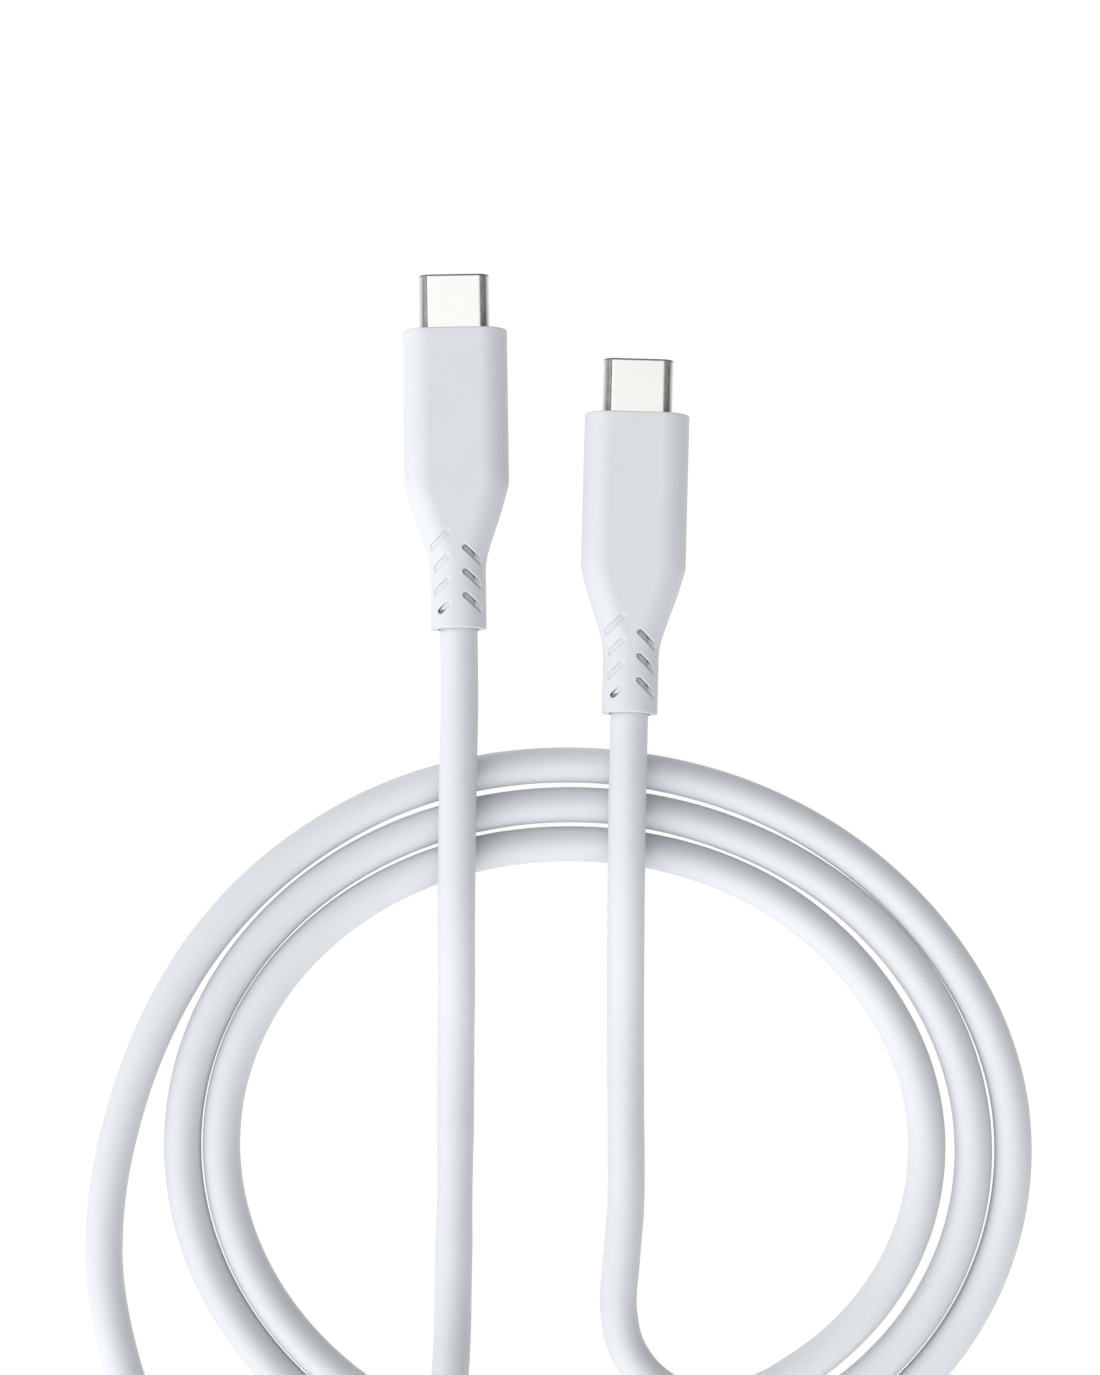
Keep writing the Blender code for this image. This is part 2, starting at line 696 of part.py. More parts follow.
def build_springs(prefix, holder, parts, cutters, finishes):
    """The grounding springs above and below the mouth: a plate with four fingers each."""
    for half, sign in (("upper", 1), ("lower", -1)):
        name = prefix + "grounding_spring_" + half
        plate = boxes(((-SPRING_HALF_WIDTH, SPRING_HALF_WIDTH), SPRING_Y, signed(SPRING_Z, sign)))
        spring = place(name, mesh_from(name, plate), parts, finishes["spring_steel"], holder)
        gap_y = (FINGER_ROOT_Y, SPRING_Y[1] + 1)
        gap_z = signed((SPRING_Z[0] - 0.1, SPRING_Z[1] + 0.1), sign)
        half_gap = FINGER_GAP_HALF_WIDTH
        gaps = boxes(*(((x - half_gap, x + half_gap), gap_y, gap_z) for x in FINGER_GAPS_X))
        cut(spring, name + "_gaps", gaps, cutters, holder)


def build_contacts(prefix, holder, parts, finishes):
    """The upper and the lower row of gold-plated contacts."""
    for half, pins_x, sign in (("upper", UPPER_PINS_X, 1), ("lower", LOWER_PINS_X, -1)):
        name = prefix + "contacts_" + half
        row = place(name, mesh_from(name, contact_row(pins_x, sign)), parts, finishes["gold"], holder)
        add_thickness(row, PIN_THICKNESS)


def build_board(prefix, holder, parts, finishes, has_chip):
    """The circuit board with its capacitor, and the marker chip that one end of the cable has."""
    width = (-BOARD_HALF_WIDTH, BOARD_HALF_WIDTH)
    board = boxes((width, BOARD_Y, (-BOARD_HALF_HEIGHT, BOARD_HALF_HEIGHT)))
    name = prefix + "circuit_board"
    place(name, mesh_from(name, board), parts, finishes["board"], holder)
    foot = BOARD_HALF_HEIGHT + SOLDER_GAP
    capacitor = boxes((CAPACITOR_X, CAPACITOR_Y, (foot, foot + CHIP_HEIGHT)))
    name = prefix + "bypass_capacitor"
    place(name, mesh_from(name, capacitor), parts, finishes["ceramic"], holder)
    if has_chip:
        name = prefix + "marker_chip"
        chip = boxes((CHIP_X, CHIP_Y, (foot, foot + CHIP_HEIGHT)))
        place(name, mesh_from(name, chip), parts, finishes["chip"], holder)


def build_plug(prefix, mouth, turn, tilt, parts, cutters, finishes, has_chip):
    """One whole plug, on an empty that stands on the axis about which the plug swings."""
    holder = bpy.data.objects.new(prefix + "plug", None)
    parts.objects.link(holder)
    tilt_angle = math.radians(tilt)
    axis_height = BODY_HALF_HEIGHT * math.cos(tilt_angle)
    mouth_height = axis_height + (FACE_Y - FRONT_EDGE) * math.sin(tilt_angle)
    holder.location = Vector((*mouth, mouth_height)) * MM
    holder.rotation_euler = (-tilt_angle, 0.0, math.radians(turn))

    build_overmold(prefix, holder, parts, cutters, finishes)
    build_insulator(prefix, holder, parts, cutters, finishes)
    build_cans(prefix, holder, parts, cutters, finishes)
    build_springs(prefix, holder, parts, cutters, finishes)
    build_contacts(prefix, holder, parts, finishes)
    build_latches(prefix, holder, parts, finishes)
    build_wires(prefix, holder, parts, finishes)
    build_board(prefix, holder, parts, finishes, has_chip)

    rear, front = INNER_MOLD_Y
    tail_half_width = INNER_MOLD_TAIL_HALF_WIDTH
    inner_mold_outside = [
        (rear, tail_half_width, INNER_MOLD_OUTER[1]),
        (INNER_MOLD_FLARE_Y, *INNER_MOLD_OUTER),
        (front, *INNER_MOLD_OUTER),
    ]
    inner_mold_inside = [
        (front, *SHELL_HOLE),
        (INNER_MOLD_COLLAR_Y, *SHELL_HOLE),
        (INNER_MOLD_COLLAR_Y, *INNER_MOLD_ROOM),
        (INNER_MOLD_FLARE_Y + MOLD_GAP, *INNER_MOLD_ROOM),
        (rear, tail_half_width - INNER_MOLD_WALL, INNER_MOLD_OUTER[1] - INNER_MOLD_WALL),
    ]
    shell_outer = (SHELL_HALF_WIDTH, SHELL_HALF_HEIGHT)
    shell_inner = (SHELL_HALF_WIDTH - SHELL_WALL, SHELL_HALF_HEIGHT - SHELL_WALL)
    shell_outside = [
        (SHELL_REAR_Y, *shell_outer),
        (TIP_Y - SHELL_LIP, *shell_outer),
        (TIP_Y, SHELL_HALF_WIDTH - SHELL_LIP_TAPER, SHELL_HALF_HEIGHT - SHELL_LIP_TAPER),
    ]
    shell_inside = [(TIP_Y, *shell_inner), (SHELL_REAR_Y, *shell_inner)]
    plate = boxes(
        (
            (-MID_PLATE_HALF_WIDTH, MID_PLATE_HALF_WIDTH),
            (MID_PLATE_REAR_Y, TONGUE_SLOT_REAR_Y - MOLD_GAP),
            (-MID_PLATE_HALF_HEIGHT, MID_PLATE_HALF_HEIGHT),
        )
    )
    jacket_size = (CORD_RADIUS, CORD_RADIUS)
    jacket_end = solid([(CORD_END_START, *jacket_size), (CORD_END_STOP, *jacket_size)])
    braid_outer, braid_inner = ((radius, radius) for radius in BRAID_RADII)
    braid = straight_sleeve(braid_outer, braid_inner, (BRAID_START, CORD_END_STOP))
    ferrule_outer, ferrule_inner = ((radius, radius) for radius in FERRULE_RADII)
    ferrule = straight_sleeve(ferrule_outer, ferrule_inner, FERRULE_Y)
    pieces = {
        "inner_mold": (sleeve(inner_mold_outside, inner_mold_inside), "polyethylene"),
        "plug_shell": (sleeve(shell_outside, shell_inside), "steel"),
        "mid_plate": (plate, "spring_steel"),
        "cord_end": (jacket_end, "elastomer"),
        "shield_braid": (braid, "braid"),
        "crimp_ferrule": (ferrule, "tinplate"),
    }
    for name, (shape, finish) in pieces.items():
        mesh = mesh_from(prefix + name, shape, smooth=True)
        place(prefix + name, mesh, parts, finishes[finish], holder)


def build_cord(parts, finish):
    """The cord's plain solids: the coil's outer shape, and a tube for each lead."""
    place("cord_coil", mesh_from("cord_coil", coil_solid(), smooth=True), parts, finish)
    leads = {
        "cord_lead_left": (LEFT_LEAD, COIL_START_TURNS),
        "cord_lead_right": (RIGHT_LEAD, COIL_STOP_TURNS),
    }
    for name, (lead, turns) in leads.items():
        route = smooth_route(lead + [tuple(coil_point(turns))], 1.0)
        leaving = (route[1] - route[0]).normalized()
        route[0] = route[0] + leaving * CORD_GAP
        tube(name, every(route[:-1], TUBE_STEP) + [route[-1]], CORD_RADIUS, parts, finish)


def main():
    for item in list(bpy.data.objects):
        bpy.data.objects.remove(item)
    parts = bpy.data.collections.new("charging_cable")
    cutters = bpy.data.collections.new("cutters")
    bpy.context.scene.collection.children.link(parts)
    bpy.context.scene.collection.children.link(cutters)
    finishes = {
        "elastomer": material("white_elastomer", (0.80, 0.83, 0.85), 0.45),
        "polyethylene": material("polyethylene", (0.75, 0.76, 0.74), 0.5),
        "steel": material("nickel_plated_steel", (0.78, 0.77, 0.74), 0.22, 1.0),
        "spring_steel": material("spring_steel", (0.62, 0.62, 0.60), 0.3, 1.0),
        "tinplate": material("tinplate", (0.66, 0.67, 0.68), 0.35, 1.0),
        "braid": material("tinned_copper_braid", (0.70, 0.66, 0.60), 0.45, 1.0),
        "insulator": material("black_insulator", (0.02, 0.02, 0.022), 0.4),
        "gold": material("gold_plating", (0.90, 0.68, 0.30), 0.25, 1.0),
        "board": material("circuit_board", (0.02, 0.17, 0.08), 0.35),
        "ceramic": material("ceramic", (0.52, 0.40, 0.27), 0.5),
        "chip": material("chip_resin", (0.03, 0.03, 0.03), 0.45),
        "wire_vbus": material("red_insulation", (0.60, 0.03, 0.02), 0.4),
        "wire_ground": material("black_insulation", (0.02, 0.02, 0.02), 0.4),
        "wire_cc": material("blue_insulation", (0.02, 0.10, 0.50), 0.4),
        "wire_data_plus": material("green_insulation", (0.02, 0.35, 0.08), 0.4),
        "wire_data_minus": material("white_insulation", (0.80, 0.80, 0.78), 0.4),
    }
    build_plug("left_", LEFT_MOUTH, LEFT_TURN, LEFT_TILT, parts, cutters, finishes, has_chip=True)
    build_plug("right_", RIGHT_MOUTH, RIGHT_TURN, RIGHT_TILT, parts, cutters, finishes, has_chip=False)
    build_cord(parts, finishes["elastomer"])


main()
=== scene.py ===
"""The looks of a white USB-C charging cable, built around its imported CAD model.

Everything is in metres, in the frame of the CAD model: +Z up, the floor at Z = 0, both plugs pointing
along +Y and the coil behind them. A plug's pieces are made in the plug's own frame, whose origin is the
middle of its strain relief's mouth, with X its width, +Y towards its tip and Z its thickness.
"""

import json
import math

import bmesh
import bpy
from mathutils import Matrix, Vector


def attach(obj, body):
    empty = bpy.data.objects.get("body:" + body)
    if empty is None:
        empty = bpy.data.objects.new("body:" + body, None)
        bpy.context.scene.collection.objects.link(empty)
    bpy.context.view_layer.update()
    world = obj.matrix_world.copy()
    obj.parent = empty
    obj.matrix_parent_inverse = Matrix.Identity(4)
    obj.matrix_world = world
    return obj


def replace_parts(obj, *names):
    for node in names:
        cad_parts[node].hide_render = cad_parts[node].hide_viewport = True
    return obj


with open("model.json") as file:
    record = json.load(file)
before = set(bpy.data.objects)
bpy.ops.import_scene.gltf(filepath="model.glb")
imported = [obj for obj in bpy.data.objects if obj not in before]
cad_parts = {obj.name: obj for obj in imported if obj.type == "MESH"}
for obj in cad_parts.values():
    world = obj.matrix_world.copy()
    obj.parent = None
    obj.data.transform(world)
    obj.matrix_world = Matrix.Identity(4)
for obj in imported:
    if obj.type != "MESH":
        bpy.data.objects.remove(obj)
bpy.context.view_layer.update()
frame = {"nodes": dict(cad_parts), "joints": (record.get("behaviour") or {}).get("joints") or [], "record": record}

SIDES = ("left", "right")
UP = Vector((0.0, 0.0, 1.0))

# The camera looks straight down from above this point, with +Y up in the picture
VIEW_CENTRE = (0.0005, -0.0227)
CAMERA_HEIGHT = 0.409
LENS_MM = 90.0

# The cord
CORD_DIAMETER = 0.0044
CORD_RADIUS = CORD_DIAMETER / 2
CORD_SIDES = 40
CORD_STEP = 0.0012
CORD_END_STEPS = 6
# The half ball at an end stops this share of a step short of its pole
CORD_END_STOP = 0.5
# Edges that turn by more degrees than this are sharp
SHARP_ANGLE = 35.0
CORD_SHARP_ANGLE = 80.0

# The coil: an oval spiral, wound clockwise and inwards from its left side. In each turn its centre
# drifts along X and its half sizes shrink by the turn's steps, and the skew leans the whole oval
COIL_CENTRE = (0.005, -0.077)
COIL_DRIFT = -0.000158
COIL_HALF_SIZE = (0.05275, 0.04635)
COIL_TURN_STEP = (0.004854, 0.00475)
COIL_SKEW = -0.00134
COIL_TURNS = (0.09, 2.62)
COIL_POINTS_PER_TURN = 36
# How much the cord's radius gives way where the coil runs across, at its near and far ends, and the
# power of the sine of the turn that gathers it there
COIL_SQUEEZE = 0.00012
COIL_SQUEEZE_POWER = 4
# How far the cord strays outwards from the even spiral: (turns, distance)
COIL_WANDER = [
    (0.09, -0.00005),
    (0.13, -0.00025),
    (0.20, 0.00000),
    (0.30, -0.00008),
    (0.40, -0.00027),
    (0.49, 0.00005),
    (0.95, 0.00000),
    (1.09, -0.00025),
    (1.20, -0.00005),
    (1.30, 0.00008),
    (1.39, 0.00025),
    (1.54, 0.00038),
    (1.90, 0.00010),
    (2.10, -0.00008),
    (2.23, 0.00010),
    (2.33, 0.00038),
    (2.44, 0.00000),
    (2.54, -0.00020),
]

# The left plug's lead, from its mouth to where the coil's first turn begins
LEFT_LEAD = [
    (-0.01020, -0.01590, 0.00565),
    (-0.01013, -0.02040, 0.00598),
    (-0.01010, -0.02490, 0.00632),
    (-0.01025, -0.03200, 0.00683),
    (-0.01035, -0.03900, 0.00700),
    (-0.01040, -0.04300, 0.00695),
    (-0.01045, -0.04750, 0.00670),
    (-0.01050, -0.05250, 0.00590),
    (-0.01050, -0.05750, 0.00460),
    (-0.01060, -0.06300, 0.00330),
    (-0.01065, -0.06850, 0.00245),
    (-0.01070, -0.07500, 0.00220),
    (-0.01085, -0.08800, 0.00220),
    (-0.01095, -0.09300, 0.00245),
    (-0.01100, -0.09800, 0.00350),
    (-0.01120, -0.10300, 0.00530),
    (-0.01160, -0.10750, 0.00670),
    (-0.01240, -0.11200, 0.00705),
    (-0.01410, -0.11730, 0.00700),
    (-0.01720, -0.12200, 0.00630),
    (-0.02180, -0.12560, 0.00500),
    (-0.02740, -0.12720, 0.00360),
    (-0.03320, -0.12640, 0.00260),
    (-0.03870, -0.12320, 0.00220),
    (-0.04360, -0.11730, 0.00220),
    (-0.04790, -0.10920, 0.00220),
    (-0.05080, -0.10030, 0.00220),
    (-0.05220, -0.09180, 0.00220),
    (-0.05195, -0.08335, 0.00220),
    (-0.05010, -0.07390, 0.00220),
    (-0.04680, -0.06440, 0.00220),
]

# The right plug's lead, from its mouth to where the coil's last turn ends
RIGHT_LEAD = [
    (0.00980, -0.02580, 0.00626),
    (0.00968, -0.03000, 0.00664),
    (0.00957, -0.03400, 0.00695),
    (0.00950, -0.03850, 0.00700),
    (0.00945, -0.04300, 0.00690),
    (0.00940, -0.04800, 0.00615),
    (0.00940, -0.05350, 0.00480),
    (0.00940, -0.05900, 0.00345),
    (0.00942, -0.06450, 0.00250),
    (0.00945, -0.07050, 0.00220),
    (0.00950, -0.07700, 0.00220),
    (0.00945, -0.08400, 0.00220),
    (0.00895, -0.09050, 0.00220),
    (0.00860, -0.09630, 0.00220),
    (0.00940, -0.10040, 0.00220),
    (0.01200, -0.10430, 0.00220),
    (0.01610, -0.10690, 0.00220),
    (0.02090, -0.10750, 0.00220),
    (0.02550, -0.10610, 0.00220),
    (0.03020, -0.10340, 0.00220),
]

# The overmould along its plug's Y: the mouth at 0, and the front face
FACE_Y = 0.0354
HALF_HEIGHT = 0.0031
BODY_HALF_WIDTH = 0.00617
RELIEF_HALF_WIDTH = 0.00327
# The taper's outline: (y, half width)
TAPER = [
    (0.0, RELIEF_HALF_WIDTH),
    (0.0067, RELIEF_HALF_WIDTH),
    (0.0080, 0.00338),
    (0.0093, 0.00370),
    (0.0106, 0.00412),
    (0.0119, 0.00457),
    (0.0132, 0.00502),
    (0.0145, 0.00543),
    (0.0158, 0.00580),
    (0.0170, 0.00612),
    (0.0176, BODY_HALF_WIDTH),
    (FACE_Y, BODY_HALF_WIDTH),
]
# The radii of its rounded edges, and the steps round one
MOUTH_EDGE = 0.0001
FRONT_EDGE = 0.0002
EDGE_STEPS = 8
# The steps round each end of an oval section, and along each of its flats
ARC_STEPS = 136
FLAT_STEPS = 24
# Where the mesh is fine. Its rows lean along the slots' long edges, fully from the first of two places
# and no more at the second, over this distance from the slots' inner ends
FINE_ROWS = (0.0014, 0.0126)
FINE_ROWS_PER_SLOT = 42
LEANING_ROWS = (0.0020, 0.0206)
ROW_REACH = 0.0017
COARSE_STEP = 0.0004
# How many times a point's width and its row's slope are worked out from each other
ROW_PASSES = 4
# The hollow inside: the half sizes of its sections, and where they begin or end
FRONT_OPENING = (0.00422, 0.0013)
SHELL_ROOM_Y = 0.0344
INNER_ROOM = (0.00535, 0.0025)
INNER_ROOM_Y = (0.0176, 0.0142)
BORE_RADIUS = 0.00245

# The slots of the strain relief, in the same places as the CAD model's
SLOT_WIDTH = 0.00062
RIGHT_SLOTS_INNER_X = 0.00095
LEFT_SLOTS_INNER_X = 0.0012
SLOT_SLOPE = 0.93
SLOT_PITCH = 0.0028
SLOT_ROWS = 3
RIGHT_SLOTS_Y = 0.00375
LEFT_SLOTS_Y = 0.00275
SLOT_REACH = 0.0026
SHORT_SLOT_REACH = 0.0008
SLOT_FLOOR_HEIGHT = 0.0017
RELIEF_CORE_RADIUS = 0.0024
# Half the width of a slot's steep wall, and the width and depth of the soft shoulder round it
SLOT_EDGE = 0.00004
SLOT_SHOULDER = 0.00022
SLOT_SHOULDER_DEPTH = 0.00009
LEFT_SHOULDER_SHARE = 0.6
# Nothing of a slot shows farther from it than this, and a slot fades out where it is shallower than this
SLOT_MARGIN = 0.001
SLOT_FADE_DEPTH = 3 * SLOT_SHOULDER_DEPTH
# The left column's slots are shallow, and the short one's floor slopes down to its outer end
LEFT_SLOTS_DEPTH = 0.0003
SHORT_SLOT_DEPTH = (0.0002, 0.0009)
# The right column's slots are painted dark with shade as far along as this, with a soft end
POCKET_REACH = 0.0009
POCKET_END = 0.00009
# How far in from a slot's outline the painted shade reaches, and the painted shade's colour
PAINTED_SHADE_WIDTH = 0.0002
PAINTED_SHADE_COLOR = (0.03, 0.032, 0.032)
# How dark the painted shade is, as shares of its darkest: by the lower edge of the short slot and of the
# right column's, by the walls past the darkest stretch, where that stretch ends, and on its floor
SHORT_LOWER_SHARE = 0.4
LOWER_SHARE = 0.6
OUTER_SHARE = 0.25
OPEN_END_SHARE = 0.4
FLOOR_SHARE = 0.07
# The shares of the short slot's reach between which its painted shade darkens
SHORT_SHADE_STRETCH = (0.2, 0.8)

# The drawn metal shell
SHELL_Y = (0.0286, 0.0420)
SHELL_HALF_SIZE = (0.004125, 0.0012)
SHELL_WALL = 0.0002
# The radius of the tip's rolled edge, and how far back from the tip the steel carries a painted dark reflection
SHELL_LIP = 0.00018
PAINTED_TIP_BAND = 0.00028
SHELL_ARC_STEPS = 32
# How much the steel is painted with a dark reflection round its side bends: (sine of the turn away from the flat,
# share)
BEND_PAINTED_REFLECTION = [
    (0.0, 0.0),
    (0.10, 0.0),
    (0.17, 0.92),
    (0.32, 0.85),
    (0.42, 0.72),
    (0.52, 1.0),
    (0.62, 0.88),
    (0.76, 0.5),
    (0.90, 0.2),
    (1.0, 0.1),
]
# The painted dark reflection on the lip, and its colour and roughness
LIP_PAINTED_REFLECTION = 1.0
PAINTED_REFLECTION_COLOR = (0.09, 0.09, 0.082)
PAINTED_REFLECTION_ROUGHNESS = 0.55
# The streaks in the painted dark reflection: their width, their stretch and how far they take the share
STREAK_WIDTH = 0.0002
STREAK_STRETCH = (1.0, 0.1, 1.0)
STREAK_SHARES = (0.8, 1.1)

# A Mix node's sockets for colours
MIX_FIRST, MIX_SECOND, MIX_RESULT = 6, 7, 2
# Most of a noise's values lie in this range
NOISE_RANGE = (0.3, 0.7)

# Moulded surfaces: how many grains across the slow mottle, the speckle and the polish's patches are, how
# many grains deep the mottle's swell is, and the two shades that the colour wanders between
MOTTLE_GRAINS = 60
SPECKLE_GRAINS = 2.5
POLISH_GRAINS = 8
SWELL_DEPTHS = 3
MOULDED_SHADES = (0.96, 1.035)
# By the record's slot: (the material's name, colour, roughness, grain, its depth[, the roughness's spread])
MOULDED = {
    "white_elastomer": ("white_elastomer", (0.588, 0.614, 0.627), 0.5, 0.00012, 0.000004),
    "polyethylene": ("polyethylene", (0.70, 0.71, 0.69), 0.45, 0.0002, 0.000004),
    "black_insulator": ("black_liquid_crystal_polymer", (0.018, 0.018, 0.02), 0.42, 0.00006, 0.000003),
    "ceramic": ("ceramic", (0.45, 0.33, 0.21), 0.5, 0.00005, 0.000003),
    "chip_resin": ("chip_resin", (0.025, 0.025, 0.026), 0.5, 0.00004, 0.000003, 0.06),
}
ELASTOMER_SPECULAR_LEVEL = 0.3
INSULATION_FINISH = (0.35, 0.0001, 0.000002)
INSULATION_COLORS = {
    "red_insulation": (0.50, 0.02, 0.015),
    "black_insulation": (0.015, 0.015, 0.015),
    "blue_insulation": (0.015, 0.08, 0.42),
    "green_insulation": (0.015, 0.28, 0.06),
    "white_insulation": (0.72, 0.72, 0.70),
}

# Drawn metals: how many grains across and deep the uneven polish's clouds are, and their darker shade
CLOUD_GRAINS = 40
CLOUD_DEPTHS = 4
CLOUD_SHADE = 0.95
DRAWN_STRETCH = (1.0, 0.06, 1.0)
ROLLED_STRETCH = (1.0, 1.0, 1.0)
# (the material's name, colour, roughness, grain, its depth[, the grain's stretch, the roughness's spread])
SHELL_FINISH = ("nickel_plated_steel", (0.80, 0.786, 0.755), 0.14, 0.00008, 0.0000006, DRAWN_STRETCH, 0.03)
# By the record's slot
DRAWN = {
    "spring_steel": ("spring_steel", (0.62, 0.61, 0.59), 0.3, 0.00006, 0.000001),
    "tinplate": ("tinplate", (0.66, 0.67, 0.68), 0.38, 0.0001, 0.000002, ROLLED_STRETCH),
    "gold_plating": ("gold_plating", (0.90, 0.66, 0.28), 0.22, 0.00005, 0.0000008),
}

# The shield's braid
BRAID_LEAN = 0.8
BRAID_WAVE = 0.0012
BRAID_WAVE_DISTORTION = 0.3
BRAID_COLORS = ((0.45, 0.33, 0.24), (0.74, 0.71, 0.67))
BRAID_ROUGHNESS = (0.5, 0.3)
BRAID_DEPTH = 0.00005

# The circuit boards
BOARD_WEAVE = 0.0008
BOARD_WEAVE_GAP = 0.04
BOARD_WEAVE_DEPTH = 0.000006
BOARD_MOTTLE = 0.0006
BOARD_COLORS = ((0.010, 0.11, 0.045), (0.016, 0.16, 0.07))
BOARD_ROUGHNESS = (0.28, 0.4)

# The studio
CAMERA_CLIP = (0.01, 10.0)
WHITE = (1.0, 1.0, 1.0, 1.0)
FLOOR_HALF_SIZE = 2.0
FLOOR_GAP = 0.0002
FLOOR_COLOR = 0.1
FLOOR_GLOW = 0.93
FLOOR_ROUGHNESS = 0.9
# The sky's brightness along the picture's diagonal, from the lower left at -1 to the upper right at 1
SKY_PEAK = 2.0
SKY_STOPS = [
    (-1.0, 1.5),
    (-0.62, 1.93),
    (-0.3, 1.88),
    (-0.05, 1.8),
    (0.06, 1.68),
    (0.13, 1.26),
    (0.27, 1.14),
    (0.33, 0.25),
    (1.0, 0.03),
]
SKY_TINT = (0.99, 1.0, 1.005)


# ---- Materials ----


class Nodes:
    """Short calls for building one material's node tree."""

    def __init__(self, material):
        self.tree = material.node_tree
        self.shader = self.tree.nodes["Principled BSDF"]
        place = self.tree.nodes.new("ShaderNodeTexCoord")
        self.place = place.outputs["Object"]

    def add(self, kind, settings=None, **inputs):
        """A new node, with its settings and what its inputs are fed."""
        node = self.tree.nodes.new("ShaderNode" + kind)
        for name, value in (settings or {}).items():
            setattr(node, name, value)
        for name, value in inputs.items():
            self.feed(node.inputs[name.replace("_", " ")], value)
        return node

    def feed(self, socket, value):
        """Links another node's socket to this one, or sets a plain value."""
        if isinstance(value, bpy.types.NodeSocket):
            self.tree.links.new(value, socket)
        else:
            socket.default_value = value

    def stretched(self, scale):
        """The place on the piece, with each axis scaled."""
        return self.add("Mapping", Vector=self.place, Scale=scale).outputs["Vector"]

    def noise(self, size, detail=3.0, stretch=None):
        """A noise from 0 to 1, whose grain is about size metres across."""
        vector = self.stretched(stretch) if stretch else self.place
        return self.add("TexNoise", Vector=vector, Scale=1.0 / size, Detail=detail).outputs["Fac"]

    def ramp(self, value, low, high):
        """Takes a noise's usual range of values to low and high."""
        least, most = NOISE_RANGE
        node = self.add("MapRange", Value=value, From_Min=least, From_Max=most, To_Min=low, To_Max=high)
        return node.outputs["Result"]

    def math(self, operation, first, second):
        """What an operation makes of two values, kept between 0 and 1."""
        node = self.add("Math", {"operation": operation, "use_clamp": True})
        self.feed(node.inputs[0], first)
        self.feed(node.inputs[1], second)
        return node.outputs["Value"]

    def bump(self, height, depth, normal=None):
        """The surface's direction under a relief of that depth, laid over another one if given."""
        node = self.add("Bump", Height=height, Distance=depth)
        if normal:
            self.feed(node.inputs["Normal"], normal)
        return node.outputs["Normal"]

    def mottle(self, color, other, value):
        """A base colour that goes from one colour to the other as a value goes from 0 to 1."""
        node = self.tree.nodes.new("ShaderNodeMix")
        node.data_type = "RGBA"
        self.feed(node.inputs["Factor"], value)
        node.inputs[MIX_FIRST].default_value = (*color, 1.0)
        node.inputs[MIX_SECOND].default_value = (*other, 1.0)
        return node.outputs[MIX_RESULT]


def new_material(name, metallic=0.0):
    """A material, and the short calls for its nodes."""
    made = bpy.data.materials.new(name)
    made.use_nodes = True
    made.node_tree.nodes["Principled BSDF"].inputs["Metallic"].default_value = metallic
    return made, Nodes(made)


def shade(color, factor):
    """A colour made lighter or darker."""
    return tuple(min(1.0, channel * factor) for channel in color)


def moulded(name, color, roughness, grain, depth, spread=0.03):
    """A moulded plastic or rubber: a fine grain of that size and depth over a speckle and a slow mottle."""
    made, nodes = new_material(name)
    slow = nodes.noise(grain * MOTTLE_GRAINS)
    fine = nodes.noise(grain, detail=2.0)
    speckle = nodes.noise(grain * SPECKLE_GRAINS, detail=1.0)
    both = nodes.math("ADD", nodes.math("MULTIPLY", slow, 0.5), nodes.math("MULTIPLY", speckle, 0.5))
    darker, lighter = (shade(color, factor) for factor in MOULDED_SHADES)
    nodes.feed(nodes.shader.inputs["Base Color"], nodes.mottle(darker, lighter, both))
    rough = nodes.ramp(nodes.noise(grain * POLISH_GRAINS), roughness - spread, roughness + spread)
    nodes.feed(nodes.shader.inputs["Roughness"], rough)
    swell = nodes.bump(slow, depth * SWELL_DEPTHS)
    nodes.feed(nodes.shader.inputs["Normal"], nodes.bump(fine, depth, swell))
    return made


def drawn_metal(name, color, roughness, grain, depth, stretch=DRAWN_STRETCH, spread=0.05):
    """A rolled or drawn metal, whose fine lines run along Y, with a soft uneven polish."""
    made, nodes = new_material(name, metallic=1.0)
    lines = nodes.noise(grain, detail=4.0, stretch=stretch)
    clouds = nodes.noise(grain * CLOUD_GRAINS)
    nodes.feed(nodes.shader.inputs["Base Color"], nodes.mottle(shade(color, CLOUD_SHADE), color, clouds))
    nodes.feed(nodes.shader.inputs["Roughness"], nodes.ramp(lines, roughness - spread, roughness + spread))
    swell = nodes.bump(clouds, depth * CLOUD_DEPTHS)
    nodes.feed(nodes.shader.inputs["Normal"], nodes.bump(lines, depth, swell))
    return made


def mixed_by(nodes, amount, ends):
    """Moves the shader's inputs towards other values, given as colours, by an amount from 0 to 1."""
    for socket_name, other in ends.items():
        socket = nodes.shader.inputs[socket_name]
        mixed = nodes.add("Mix", {"data_type": "RGBA"}, Factor=amount)
        if socket.links:
            nodes.feed(mixed.inputs[MIX_FIRST], socket.links[0].from_socket)
        else:
            mixed.inputs[MIX_FIRST].default_value = (socket.default_value,) * 3 + (1.0,)
        mixed.inputs[MIX_SECOND].default_value = (*other, 1.0)
        nodes.feed(socket, mixed.outputs[MIX_RESULT])


def with_painted_reflection(made):
    """Paints a dark reflection onto a steel as a matt grey in streaks, by the share that the mesh carries."""
    nodes = Nodes(made)
    painted_dark_reflection = nodes.add("Attribute", {"attribute_name": "painted_dark_reflection"}).outputs["Fac"]
    streaks = nodes.ramp(nodes.noise(STREAK_WIDTH, stretch=STREAK_STRETCH), *STREAK_SHARES)
    ends = {"Base Color": PAINTED_REFLECTION_COLOR, "Roughness": (PAINTED_REFLECTION_ROUGHNESS,) * 3, "Metallic": (0.0, 0.0, 0.0)}
    mixed_by(nodes, nodes.math("MULTIPLY", painted_dark_reflection, streaks), ends)
    return made


def with_painted_slot_shade(made):
    """Darkens a material with painted shade in the depths of a slot, by the share that the mesh carries."""
    nodes = Nodes(made)
    painted_slot_shade = nodes.add("Attribute", {"attribute_name": "painted_slot_shade"}).outputs["Fac"]
    mixed_by(nodes, painted_slot_shade, {"Base Color": PAINTED_SHADE_COLOR})
    return made


